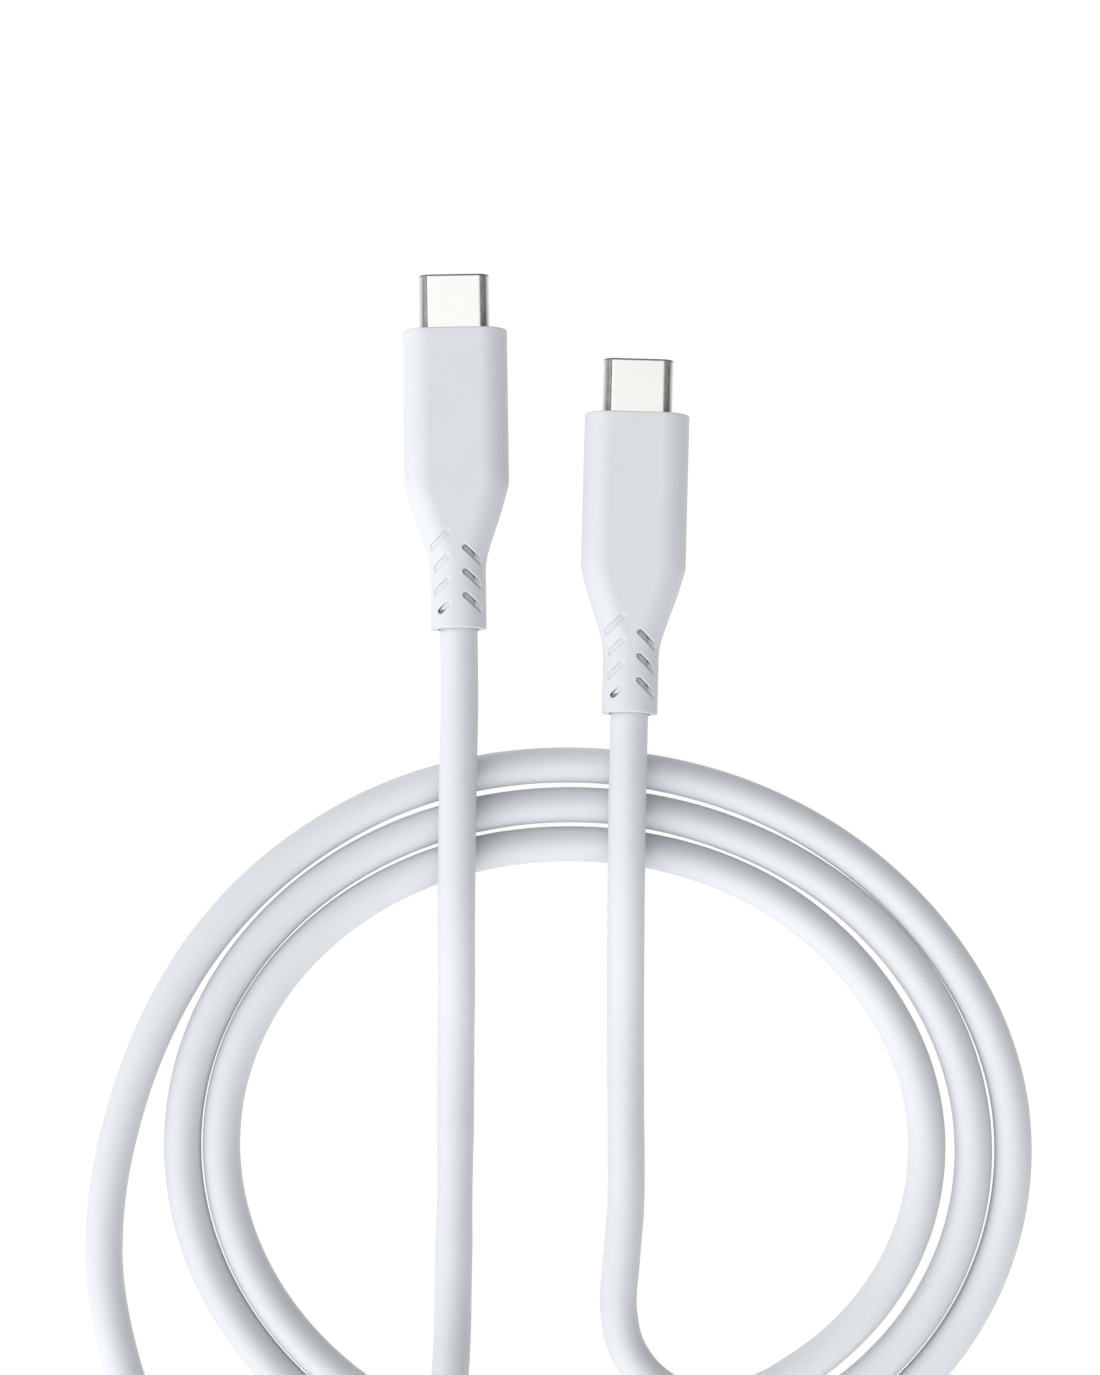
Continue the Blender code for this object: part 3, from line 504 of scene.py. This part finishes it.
def woven_braid(name):
    """Tinned copper wires that cross at a slant: two sets of waves, the nearer one showing."""
    made, nodes = new_material(name, metallic=1.0)
    heights = []
    for lean in (BRAID_LEAN, -BRAID_LEAN):
        turned = nodes.add("Mapping", Vector=nodes.place, Rotation=(0.0, 0.0, lean)).outputs["Vector"]
        waves = nodes.add(
            "TexWave", Vector=turned, Scale=1.0 / BRAID_WAVE, Distortion=BRAID_WAVE_DISTORTION
        )
        heights.append(waves.outputs["Fac"])
    weave = nodes.math("MAXIMUM", *heights)
    nodes.feed(nodes.shader.inputs["Base Color"], nodes.mottle(*BRAID_COLORS, weave))
    nodes.feed(nodes.shader.inputs["Roughness"], nodes.ramp(weave, *BRAID_ROUGHNESS))
    nodes.feed(nodes.shader.inputs["Normal"], nodes.bump(weave, BRAID_DEPTH))
    return made


def board_laminate(name):
    """Solder mask over the board's glass weave."""
    made, nodes = new_material(name)
    weave = nodes.add(
        "TexBrick",
        Vector=nodes.place,
        Scale=1.0 / BOARD_WEAVE,
        Mortar_Size=BOARD_WEAVE_GAP,
    ).outputs["Fac"]
    mask = nodes.noise(BOARD_MOTTLE)
    nodes.feed(nodes.shader.inputs["Base Color"], nodes.mottle(*BOARD_COLORS, mask))
    nodes.feed(nodes.shader.inputs["Roughness"], nodes.ramp(mask, *BOARD_ROUGHNESS))
    nodes.feed(nodes.shader.inputs["Normal"], nodes.bump(weave, BOARD_WEAVE_DEPTH))
    return made


def make_finishes():
    """One material for each of the record's slots."""
    finishes = {slot: moulded(*look) for slot, look in MOULDED.items()}
    for slot, color in INSULATION_COLORS.items():
        finishes[slot] = moulded(slot, color, *INSULATION_FINISH)
    for slot, look in DRAWN.items():
        finishes[slot] = drawn_metal(*look)
    # The shell's steel carries a painted dark reflection on its bends and lip
    finishes["shell_steel"] = with_painted_reflection(drawn_metal(*SHELL_FINISH))
    finishes["copper_braid"] = woven_braid("tinned_copper_braid")
    finishes["circuit_board"] = board_laminate("circuit_board")
    # The elastomer is painted darker deep in its slots, as shade
    elastomer = with_painted_slot_shade(finishes["white_elastomer"]).node_tree.nodes["Principled BSDF"]
    elastomer.inputs["Specular IOR Level"].default_value = ELASTOMER_SPECULAR_LEVEL
    return finishes


# ---- Shapes ----


def add_piece(name, shape, finish, body, sharp_angle=SHARP_ANGLE):
    """Turns a bmesh in the CAD model's frame into a piece that rides on a body."""
    bmesh.ops.recalc_face_normals(shape, faces=shape.faces)
    mesh = bpy.data.meshes.new(name)
    shape.to_mesh(mesh)
    shape.free()
    mesh.shade_smooth()
    mesh.set_sharp_from_angle(angle=math.radians(sharp_angle))
    mesh.materials.append(finish)
    piece = bpy.data.objects.new(name, mesh)
    bpy.context.scene.collection.objects.link(piece)
    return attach(piece, body)


def bridge(shape, first, second):
    """Joins two rings of vertices with a band of faces."""
    for index in range(len(first)):
        after = (index + 1) % len(first)
        shape.faces.new((first[index], first[after], second[after], second[index]))


def curve_at(t, span, start, start_slope, end, end_slope):
    """A smooth curve's value at the share t of a span, from its values and slopes at the span's ends."""
    return (
        start * (1 + 2 * t) * (1 - t) ** 2
        + start_slope * span * t * (1 - t) ** 2
        + end * t * t * (3 - 2 * t)
        + end_slope * span * t * t * (t - 1)
    )


def smooth_route(points, step):
    """Reads a smooth curve through points, at about one place each step."""
    points = [Vector(point) for point in points]
    spans = [(after - before).length for before, after in zip(points, points[1:])]
    slopes = [(after - before) / span for before, after, span in zip(points, points[1:], spans)]
    tangents = [slopes[0]]
    for before, after, low, high in zip(slopes, slopes[1:], spans, spans[1:]):
        tangents.append((before * high + after * low) / (low + high))
    tangents.append(slopes[-1])
    route = [points[0]]
    for index, span in enumerate(spans):
        ends = (points[index], tangents[index], points[index + 1], tangents[index + 1])
        count = max(1, round(span / step))
        route += [curve_at(place / count, span, *ends) for place in range(1, count + 1)]
    return route


def coil_wander(turns):
    """How far outwards the cord lies from the even spiral after so many turns."""
    for (before, low), (after, high) in zip(COIL_WANDER, COIL_WANDER[1:]):
        if turns < after:
            return low + (high - low) * smooth_step(turns, before, after)
    return COIL_WANDER[-1][1]


def coil_point(turns):
    """Where the cord's centre line is after so many turns, starting from the coil's left side."""
    angle = math.pi - 2 * math.pi * turns
    half_width = COIL_HALF_SIZE[0] - COIL_TURN_STEP[0] * turns + coil_wander(turns)
    half_depth = COIL_HALF_SIZE[1] - COIL_TURN_STEP[1] * turns + coil_wander(turns)
    x = COIL_CENTRE[0] + COIL_DRIFT * turns + half_width * math.cos(angle) + COIL_SKEW * math.sin(angle)
    y = COIL_CENTRE[1] + half_depth * math.sin(angle)
    return Vector((x, y, CORD_RADIUS - COIL_SQUEEZE * math.sin(angle) ** COIL_SQUEEZE_POWER))


def cord_route():
    """The cord's centre line, from the left plug's mouth to the right plug's."""
    first, last = COIL_TURNS
    count = round((last - first) * COIL_POINTS_PER_TURN)
    coil = [coil_point(first + (last - first) * step / count) for step in range(count + 1)]
    return smooth_route(LEFT_LEAD + coil + RIGHT_LEAD[::-1], CORD_STEP)


def build_cord(finish):
    """The cord as one tube, with a half ball at each end inside its plug's mouth.

    It lies on the floor wherever its centre line is lower than its full radius. The half balls are centred
    on the plugs' hinge axes, so that a plug swings round its own."""
    route = cord_route()
    aheads = [(after - before).normalized() for before, after in zip(route, route[1:])]
    aheads = [aheads[0]] + [(a + b).normalized() for a, b in zip(aheads, aheads[1:])] + [aheads[-1]]
    across = aheads[0].cross(UP).normalized()
    stations = []
    for place, ahead in zip(route, aheads):
        across = (across - ahead * across.dot(ahead)).normalized()
        stations.append((place, across, ahead.cross(across), min(CORD_RADIUS, place.z)))
    for end, outward in ((0, -aheads[0]), (-1, aheads[-1])):
        place, side, top, _ = stations[end]
        ball = []
        for step in range(1, CORD_END_STEPS + 1):
            angle = math.pi / 2 * step / (CORD_END_STEPS + CORD_END_STOP)
            middle = place + outward * CORD_RADIUS * math.sin(angle)
            ball.append((middle, side, top, CORD_RADIUS * math.cos(angle)))
        stations = stations + ball if end else ball[::-1] + stations

    shape = bmesh.new()
    rings = []
    for place, side, top, radius in stations:
        ring = []
        for index in range(CORD_SIDES):
            angle = 2 * math.pi * index / CORD_SIDES
            outwards = side * math.cos(angle) + top * math.sin(angle)
            ring.append(shape.verts.new(place + outwards * radius))
        rings.append(ring)
    for first, second in zip(rings, rings[1:]):
        bridge(shape, first, second)
    shape.faces.new(rings[0])
    shape.faces.new(rings[-1])
    cord = add_piece("cord", shape, finish, "cord", CORD_SHARP_ANGLE)
    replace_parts(cord, "cord_coil", "cord_lead_left", "cord_lead_right")
    return cord, route


def plug_frame(side):
    """The matrix from a plug's own frame to the CAD model's, read from its hinge and its front mount."""
    hinge = next(joint for joint in frame["joints"] if joint["name"] == side + "_plug_flex")
    mount = next(mount for mount in frame["record"]["mounts"] if mount["name"] == side + "_front_face")
    ahead = Vector(mount["axis"]).normalized()
    across = ahead.cross(UP).normalized()
    turn = Matrix((across, ahead, across.cross(ahead))).transposed().to_4x4()
    return Matrix.Translation(hinge["pos_m"]) @ turn


def oval_outline(arc_steps, flat_steps):
    """A flat oval of any size, point by point.

    Each is (share of its flat's half width, X and Z of the direction out of its surface)."""
    outline = []
    for side in (1, -1):
        for step in range(arc_steps + 1):
            angle = math.pi * (step / arc_steps - 0.5)
            outline.append((side, side * math.cos(angle), side * math.sin(angle)))
        for step in range(1, flat_steps):
            outline.append((side * (1 - 2 * step / flat_steps), 0.0, float(side)))
    return outline


def on_oval(point, half_width, half_height):
    """The (x, z) of an outline's point on an oval of that size."""
    share, out_x, out_z = point
    radius = min(half_width, half_height)
    return share * (half_width - radius) + radius * out_x, radius * out_z


def smooth_step(value, low, high):
    """Rises softly from 0 at low to 1 at high."""
    t = min(1.0, max(0.0, (value - low) / (high - low)))
    return t * t * (3 - 2 * t)


def half_width_at(y):
    """The overmould's half width: a smooth curve through the taper's points."""
    y = min(max(y, TAPER[0][0]), TAPER[-1][0])
    for index in range(len(TAPER) - 1):
        (low, low_width), (high, high_width) = TAPER[index : index + 2]
        if y <= high:
            break
    span = high - low
    slope = (high_width - low_width) / span
    before = after = slope
    if index:
        before = (low_width - TAPER[index - 1][1]) / (low - TAPER[index - 1][0])
    if index + 2 < len(TAPER):
        after = (TAPER[index + 2][1] - high_width) / (TAPER[index + 2][0] - high)
    start = 0.0 if before * slope <= 0 else (before + slope) / 2
    end = 0.0 if after * slope <= 0 else (after + slope) / 2
    return curve_at((y - low) / span, span, low_width, start, high_width, end)


def slots():
    """Each slot on the upper side: (side, distance and y of its inner end, reach across X)."""
    found = [(-1, LEFT_SLOTS_INNER_X, LEFT_SLOTS_Y, SHORT_SLOT_REACH)]
    for row in range(SLOT_ROWS):
        found.append((1, RIGHT_SLOTS_INNER_X, RIGHT_SLOTS_Y + row * SLOT_PITCH, SLOT_REACH))
        found.append((-1, LEFT_SLOTS_INNER_X, LEFT_SLOTS_Y + (row + 1) * SLOT_PITCH, SLOT_REACH))
    return found


def between(least, share):
    """The value at this share of the way from the least to 1."""
    return least + (1 - least) * share


def painted_shade_share(side, reach, reached, off, distance):
    """How dark the painted shade in a slot is at a point, as 0 to 1.

    The point is this far along the slot's reach, this far off its middle line towards the upper edge, and
    at this distance from its outline, negative inside. The painted shade stands in for the shadow deep in
    the slot and is darkest below the upper edge; in the right column near the slot's inner end, in the short
    slot near its outer end."""
    near_wall = smooth_step(distance, -PAINTED_SHADE_WIDTH, -SLOT_EDGE)
    upper = smooth_step(off, -SLOT_WIDTH / 2, SLOT_WIDTH / 3)
    if reach == SHORT_SLOT_REACH:
        low, high = SHORT_SHADE_STRETCH
        darkening = smooth_step(reached, low * reach, high * reach)
        return near_wall * between(SHORT_LOWER_SHARE, upper) * darkening
    if side < 0:
        return 0.0
    painted_slot_shade = 1 - smooth_step(reached, POCKET_REACH - POCKET_END, POCKET_REACH + POCKET_END)
    end = 1 - smooth_step(abs(reached - POCKET_REACH), 0.0, 2 * POCKET_END)
    wall = near_wall * between(LOWER_SHARE, upper) * between(OUTER_SHARE, painted_slot_shade)
    return max(wall, FLOOR_SHARE * painted_slot_shade, OPEN_END_SHARE * end)


def in_slots(x, y):
    """For a point seen from above: how far it is inside a slot and inside its soft shoulder, how deep the
    slot may be there, and how dark the painted shade in it is. All but the depth are from 0 to 1."""
    inside = 0.0
    shoulder = 0.0
    deepest = HALF_HEIGHT
    painted_shade = 0.0
    for side, inner_x, inner_y, reach in slots():
        along_x = side * x - inner_x
        along_y = y - inner_y
        if not -SLOT_MARGIN < along_x < reach + SLOT_MARGIN:
            continue
        if not -SLOT_SLOPE * reach - SLOT_MARGIN < along_y < SLOT_MARGIN:
            continue
        reached = (along_x - SLOT_SLOPE * along_y) / (1 + SLOT_SLOPE**2)
        # What lies behind the inner end counts as off towards the upper edge
        behind = max(0.0, -reached)
        reached = min(reach, max(0.0, reached))
        across_x = along_x - reached
        across_y = along_y + SLOT_SLOPE * reached
        distance = math.hypot(across_x, across_y) - SLOT_WIDTH / 2
        off = (SLOT_SLOPE * across_x + across_y) / math.hypot(1.0, SLOT_SLOPE) + behind
        here = smooth_step(-distance, -SLOT_EDGE, SLOT_EDGE)
        inside = max(inside, here)
        softness = smooth_step(off, 0.0, SLOT_WIDTH / 2) if side > 0 else LEFT_SHOULDER_SHARE
        shoulder = max(shoulder, smooth_step(-distance, -SLOT_SHOULDER, 0.0) * softness)
        # Painted shade, darkest deep in the slot
        painted_shade = max(painted_shade, here * painted_shade_share(side, reach, reached, off, distance))
        if reach == SHORT_SLOT_REACH:
            near, far = SHORT_SLOT_DEPTH
            deepest = near + (far - near) * reached / reach
        elif side < 0:
            deepest = LEFT_SLOTS_DEPTH
    return inside, shoulder, deepest, painted_shade


def slotted_point(x, y, z):
    """The height of the strain relief's surface, with the slots cut down to their floor, and how dark its painted
    shade is.

    The underside is the upper side turned half round about the plug's length."""
    inside, shoulder, deepest, painted_shade = in_slots(x, y) if z > 0 else in_slots(-x, y)
    core = math.sqrt(max(0.0, RELIEF_CORE_RADIUS**2 - x**2))
    height = abs(z)
    depth = min(deepest, max(0.0, height - max(core, SLOT_FLOOR_HEIGHT)))
    fade = smooth_step(depth, 0.0, SLOT_FADE_DEPTH)
    height -= max(depth * inside, SLOT_SHOULDER_DEPTH * shoulder * fade)
    return math.copysign(height, z), painted_shade * fade


def slanted_row(start_y, x):
    """Where a row of the overmould's mesh passes at x.

    In the slots' stretch the rows slope as the slots do, so that a slot's long edges run along them."""
    first, last = LEANING_ROWS
    lean = min(1.0, start_y / first) * (1.0 - smooth_step(start_y, FINE_ROWS[1], last))
    reach = min(max(abs(x) - RIGHT_SLOTS_INNER_X, 0.0), ROW_REACH)
    return start_y - SLOT_SLOPE * reach * lean


def row_starts():
    """Where the rows of the overmould's mesh cross its middle: fine in the slots' stretch.

    A fine row passes through the middle of every slot, so that all slots' edges fall between rows alike."""
    step = SLOT_PITCH / FINE_ROWS_PER_SLOT
    below, above = (round((end - RIGHT_SLOTS_Y) / step) for end in FINE_ROWS)
    fine = [RIGHT_SLOTS_Y + index * step for index in range(below, above + 1)]
    back_count = round((fine[0] - MOUTH_EDGE) / COARSE_STEP)
    back = [MOUTH_EDGE + (fine[0] - MOUTH_EDGE) * index / back_count for index in range(back_count)]
    end = FACE_Y - FRONT_EDGE
    front_count = round((end - fine[-1]) / COARSE_STEP)
    front = [fine[-1] + (end - fine[-1]) * index / front_count for index in range(1, front_count + 1)]
    return back + fine + front


def overmold_ring(outline, start_y):
    """One row of the overmould's outer surface, with the slots sunk into it, and how dark the painted shade is at
    each point.
    """
    ring = []
    for point in outline:
        y = start_y
        for _ in range(ROW_PASSES):
            x, z = on_oval(point, half_width_at(y), HALF_HEIGHT)
            y = slanted_row(start_y, x)
        height, painted_shade = slotted_point(x, y, z)
        ring.append((x, y, height, painted_shade))
    return ring


def plain_ring(outline, y, half_width, half_height):
    """A section across a plug's length: an oval of that size at y."""
    ring = []
    for point in outline:
        x, z = on_oval(point, half_width, half_height)
        ring.append((x, y, z))
    return ring


def rounded_edge(y, inward, half_size, radius):
    """Sections round an edge, from the side's size at y to the end face.

    Inward is the way along Y from the end face into the piece: 1 at the mouth, -1 at the front."""
    sections = []
    for step in range(1, EDGE_STEPS + 1):
        angle = math.pi / 2 * step / EDGE_STEPS
        shrink = radius * (1 - math.cos(angle))
        sections.append((y - inward * radius * math.sin(angle), half_size[0] - shrink, half_size[1] - shrink))
    return sections


def build_overmold(side, matrix, finish):
    """The soft white moulding with its slotted strain relief, hollow as the CAD's is."""
    outline = oval_outline(ARC_STEPS, FLAT_STEPS)
    back = rounded_edge(MOUTH_EDGE, 1, (RELIEF_HALF_WIDTH, HALF_HEIGHT), MOUTH_EDGE)
    front = rounded_edge(FACE_Y - FRONT_EDGE, -1, (BODY_HALF_WIDTH, HALF_HEIGHT), FRONT_EDGE)
    cavity = [
        (FACE_Y, *FRONT_OPENING),
        (SHELL_ROOM_Y, *FRONT_OPENING),
        (SHELL_ROOM_Y, *INNER_ROOM),
        (INNER_ROOM_Y[0], *INNER_ROOM),
        (INNER_ROOM_Y[1], BORE_RADIUS, BORE_RADIUS),
        (0.0, BORE_RADIUS, BORE_RADIUS),
    ]
    rings = [plain_ring(outline, *station) for station in reversed(back)]
    rings += [overmold_ring(outline, start_y) for start_y in row_starts()]
    rings += [plain_ring(outline, *station) for station in front + cavity]
    shape = bmesh.new()
    painted_slot_shade = shape.verts.layers.float.new("painted_slot_shade")
    corners = []
    for ring in rings:
        corners.append([])
        # Only the slotted rows carry painted shade
        for x, y, z, *painted_shade in ring:
            corner = shape.verts.new((x, y, z))
            corner[painted_slot_shade] = sum(painted_shade)
            corners[-1].append(corner)
    for first, second in zip(corners, corners[1:] + corners[:1]):
        bridge(shape, first, second)
    bmesh.ops.transform(shape, matrix=matrix, verts=shape.verts)
    overmold = add_piece(side + "_overmold_skin", shape, finish, side + "_plug")
    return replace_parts(overmold, side + "_overmold")


def bend_painted_reflection(turned):
    """How much painted dark reflection the steel carries where its surface is turned so far away from the flat."""
    for (before, low), (after, high) in zip(BEND_PAINTED_REFLECTION, BEND_PAINTED_REFLECTION[1:]):
        if turned < after:
            return low + (high - low) * (turned - before) / (after - before)
    return BEND_PAINTED_REFLECTION[-1][1]


def build_shell(side, matrix, finish):
    """The drawn steel shell, its mouth rolled to a soft edge."""
    outline = oval_outline(SHELL_ARC_STEPS, FLAT_STEPS)
    rear, tip = SHELL_Y
    inner = [size - SHELL_WALL for size in SHELL_HALF_SIZE]
    straight = (rear, tip - PAINTED_TIP_BAND, tip - SHELL_LIP)
    stations = [(y, *SHELL_HALF_SIZE) for y in straight]
    stations += rounded_edge(tip - SHELL_LIP, -1, SHELL_HALF_SIZE, SHELL_LIP)
    stations += [(tip, *inner), (rear, *inner)]
    shape = bmesh.new()
    painted_dark_reflection = shape.verts.layers.float.new("painted_dark_reflection")
    rings = []
    for station in stations:
        # Painted dark reflection along the side bends and on the tip's lip
        on_lip = station[0] > tip - PAINTED_TIP_BAND
        ring = [shape.verts.new(point) for point in plain_ring(outline, *station)]
        for corner, (_, out_x, _) in zip(ring, outline):
            corner[painted_dark_reflection] = max(bend_painted_reflection(abs(out_x)), LIP_PAINTED_REFLECTION if on_lip else 0.0)
        rings.append(ring)
    for first, second in zip(rings, rings[1:] + rings[:1]):
        bridge(shape, first, second)
    bmesh.ops.transform(shape, matrix=matrix, verts=shape.verts)
    shell = add_piece(side + "_drawn_shell", shape, finish, side + "_plug")
    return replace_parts(shell, side + "_plug_shell")


def repaint(finishes):
    """Gives every CAD node that stays its detailed finish, by its slot in the record."""
    for subpart in frame["record"]["subparts"]:
        node = frame["nodes"][subpart["node"]]
        node.data.materials.clear()
        node.data.materials.append(finishes[subpart["material_slot"]])


# ---- The studio ----


def build_floor():
    """A plain white sweep, lit from under like a light table, so that it stays evenly white."""
    shape = bmesh.new()
    bmesh.ops.create_grid(shape, x_segments=1, y_segments=1, size=FLOOR_HALF_SIZE)
    mesh = bpy.data.meshes.new("floor")
    shape.to_mesh(mesh)
    shape.free()
    floor = bpy.data.objects.new("floor", mesh)
    bpy.context.scene.collection.objects.link(floor)
    paper, nodes = new_material("white_sweep")
    nodes.shader.inputs["Base Color"].default_value = (FLOOR_COLOR, FLOOR_COLOR, FLOOR_COLOR, 1.0)
    nodes.shader.inputs["Roughness"].default_value = FLOOR_ROUGHNESS
    nodes.shader.inputs["Emission Color"].default_value = WHITE
    nodes.shader.inputs["Emission Strength"].default_value = FLOOR_GLOW
    mesh.materials.append(paper)
    floor.location.z = -FLOOR_GAP


def math_node(tree, operation, *values):
    """What an operation makes of some values, in any node tree."""
    node = tree.nodes.new("ShaderNodeMath")
    node.operation = operation
    for socket, value in zip(node.inputs, values):
        if isinstance(value, bpy.types.NodeSocket):
            tree.links.new(value, socket)
        else:
            socket.default_value = value
    return node.outputs["Value"]


def build_sky():
    """Soft light from overhead and from the lower left, with the upper right dark."""
    world = bpy.data.worlds.new("studio")
    world.use_nodes = True
    bpy.context.scene.world = world
    tree = world.node_tree
    tree.nodes.clear()
    direction = tree.nodes.new("ShaderNodeTexCoord").outputs["Generated"]
    split = tree.nodes.new("ShaderNodeSeparateXYZ")
    tree.links.new(direction, split.inputs["Vector"])

    # How far the direction points along the diagonal, as 0 to 1
    both = math_node(tree, "ADD", split.outputs["X"], split.outputs["Y"])
    scaled = math_node(tree, "MULTIPLY_ADD", both, math.sqrt(0.5) / 2, 0.5)
    ramp = tree.nodes.new("ShaderNodeValToRGB")
    tree.links.new(scaled, ramp.inputs["Fac"])
    stops = ramp.color_ramp.elements
    while len(stops) < len(SKY_STOPS):
        stops.new(0.5)
    for stop, (place, brightness) in zip(stops, SKY_STOPS):
        stop.position = (place + 1) / 2
        stop.color = (brightness / SKY_PEAK,) * 3 + (1.0,)
    tint = tree.nodes.new("ShaderNodeMix")
    tint.data_type = "RGBA"
    tint.blend_type = "MULTIPLY"
    tint.inputs["Factor"].default_value = 1.0
    tree.links.new(ramp.outputs["Color"], tint.inputs[MIX_FIRST])
    tint.inputs[MIX_SECOND].default_value = (*SKY_TINT, 1.0)

    soft = tree.nodes.new("ShaderNodeBackground")
    soft.inputs["Strength"].default_value = SKY_PEAK
    tree.links.new(tint.outputs[MIX_RESULT], soft.inputs["Color"])
    plain = tree.nodes.new("ShaderNodeBackground")
    plain.inputs["Color"].default_value = WHITE
    choose = tree.nodes.new("ShaderNodeMixShader")
    tree.links.new(tree.nodes.new("ShaderNodeLightPath").outputs["Is Camera Ray"], choose.inputs["Fac"])
    tree.links.new(soft.outputs["Background"], choose.inputs[1])
    tree.links.new(plain.outputs["Background"], choose.inputs[2])
    out = tree.nodes.new("ShaderNodeOutputWorld")
    tree.links.new(choose.outputs["Shader"], out.inputs["Surface"])


def build_camera():
    """A camera that looks straight down at the cable."""
    data = bpy.data.cameras.new("camera")
    data.lens = LENS_MM
    data.clip_start, data.clip_end = CAMERA_CLIP
    camera = bpy.data.objects.new("camera", data)
    camera.location = (*VIEW_CENTRE, CAMERA_HEIGHT)
    bpy.context.scene.collection.objects.link(camera)
    bpy.context.scene.camera = camera


def build_scene():
    """The studio, the finishes, the cord and both plugs."""
    bpy.context.scene.view_settings.view_transform = "Standard"
    build_camera()
    build_floor()
    build_sky()
    finishes = make_finishes()
    repaint(finishes)
    cord, route = build_cord(finishes["white_elastomer"])
    for side in SIDES:
        matrix = plug_frame(side)
        build_overmold(side, matrix, finishes["white_elastomer"])
        build_shell(side, matrix, finishes["shell_steel"])
    hidden = ("right_overmold", "right_plug_shell")
    plug_pieces = ["right_overmold_skin", "right_drawn_shell"]
    plug_pieces += [name for name in frame["nodes"] if name.startswith("right_") and name not in hidden]


build_scene()
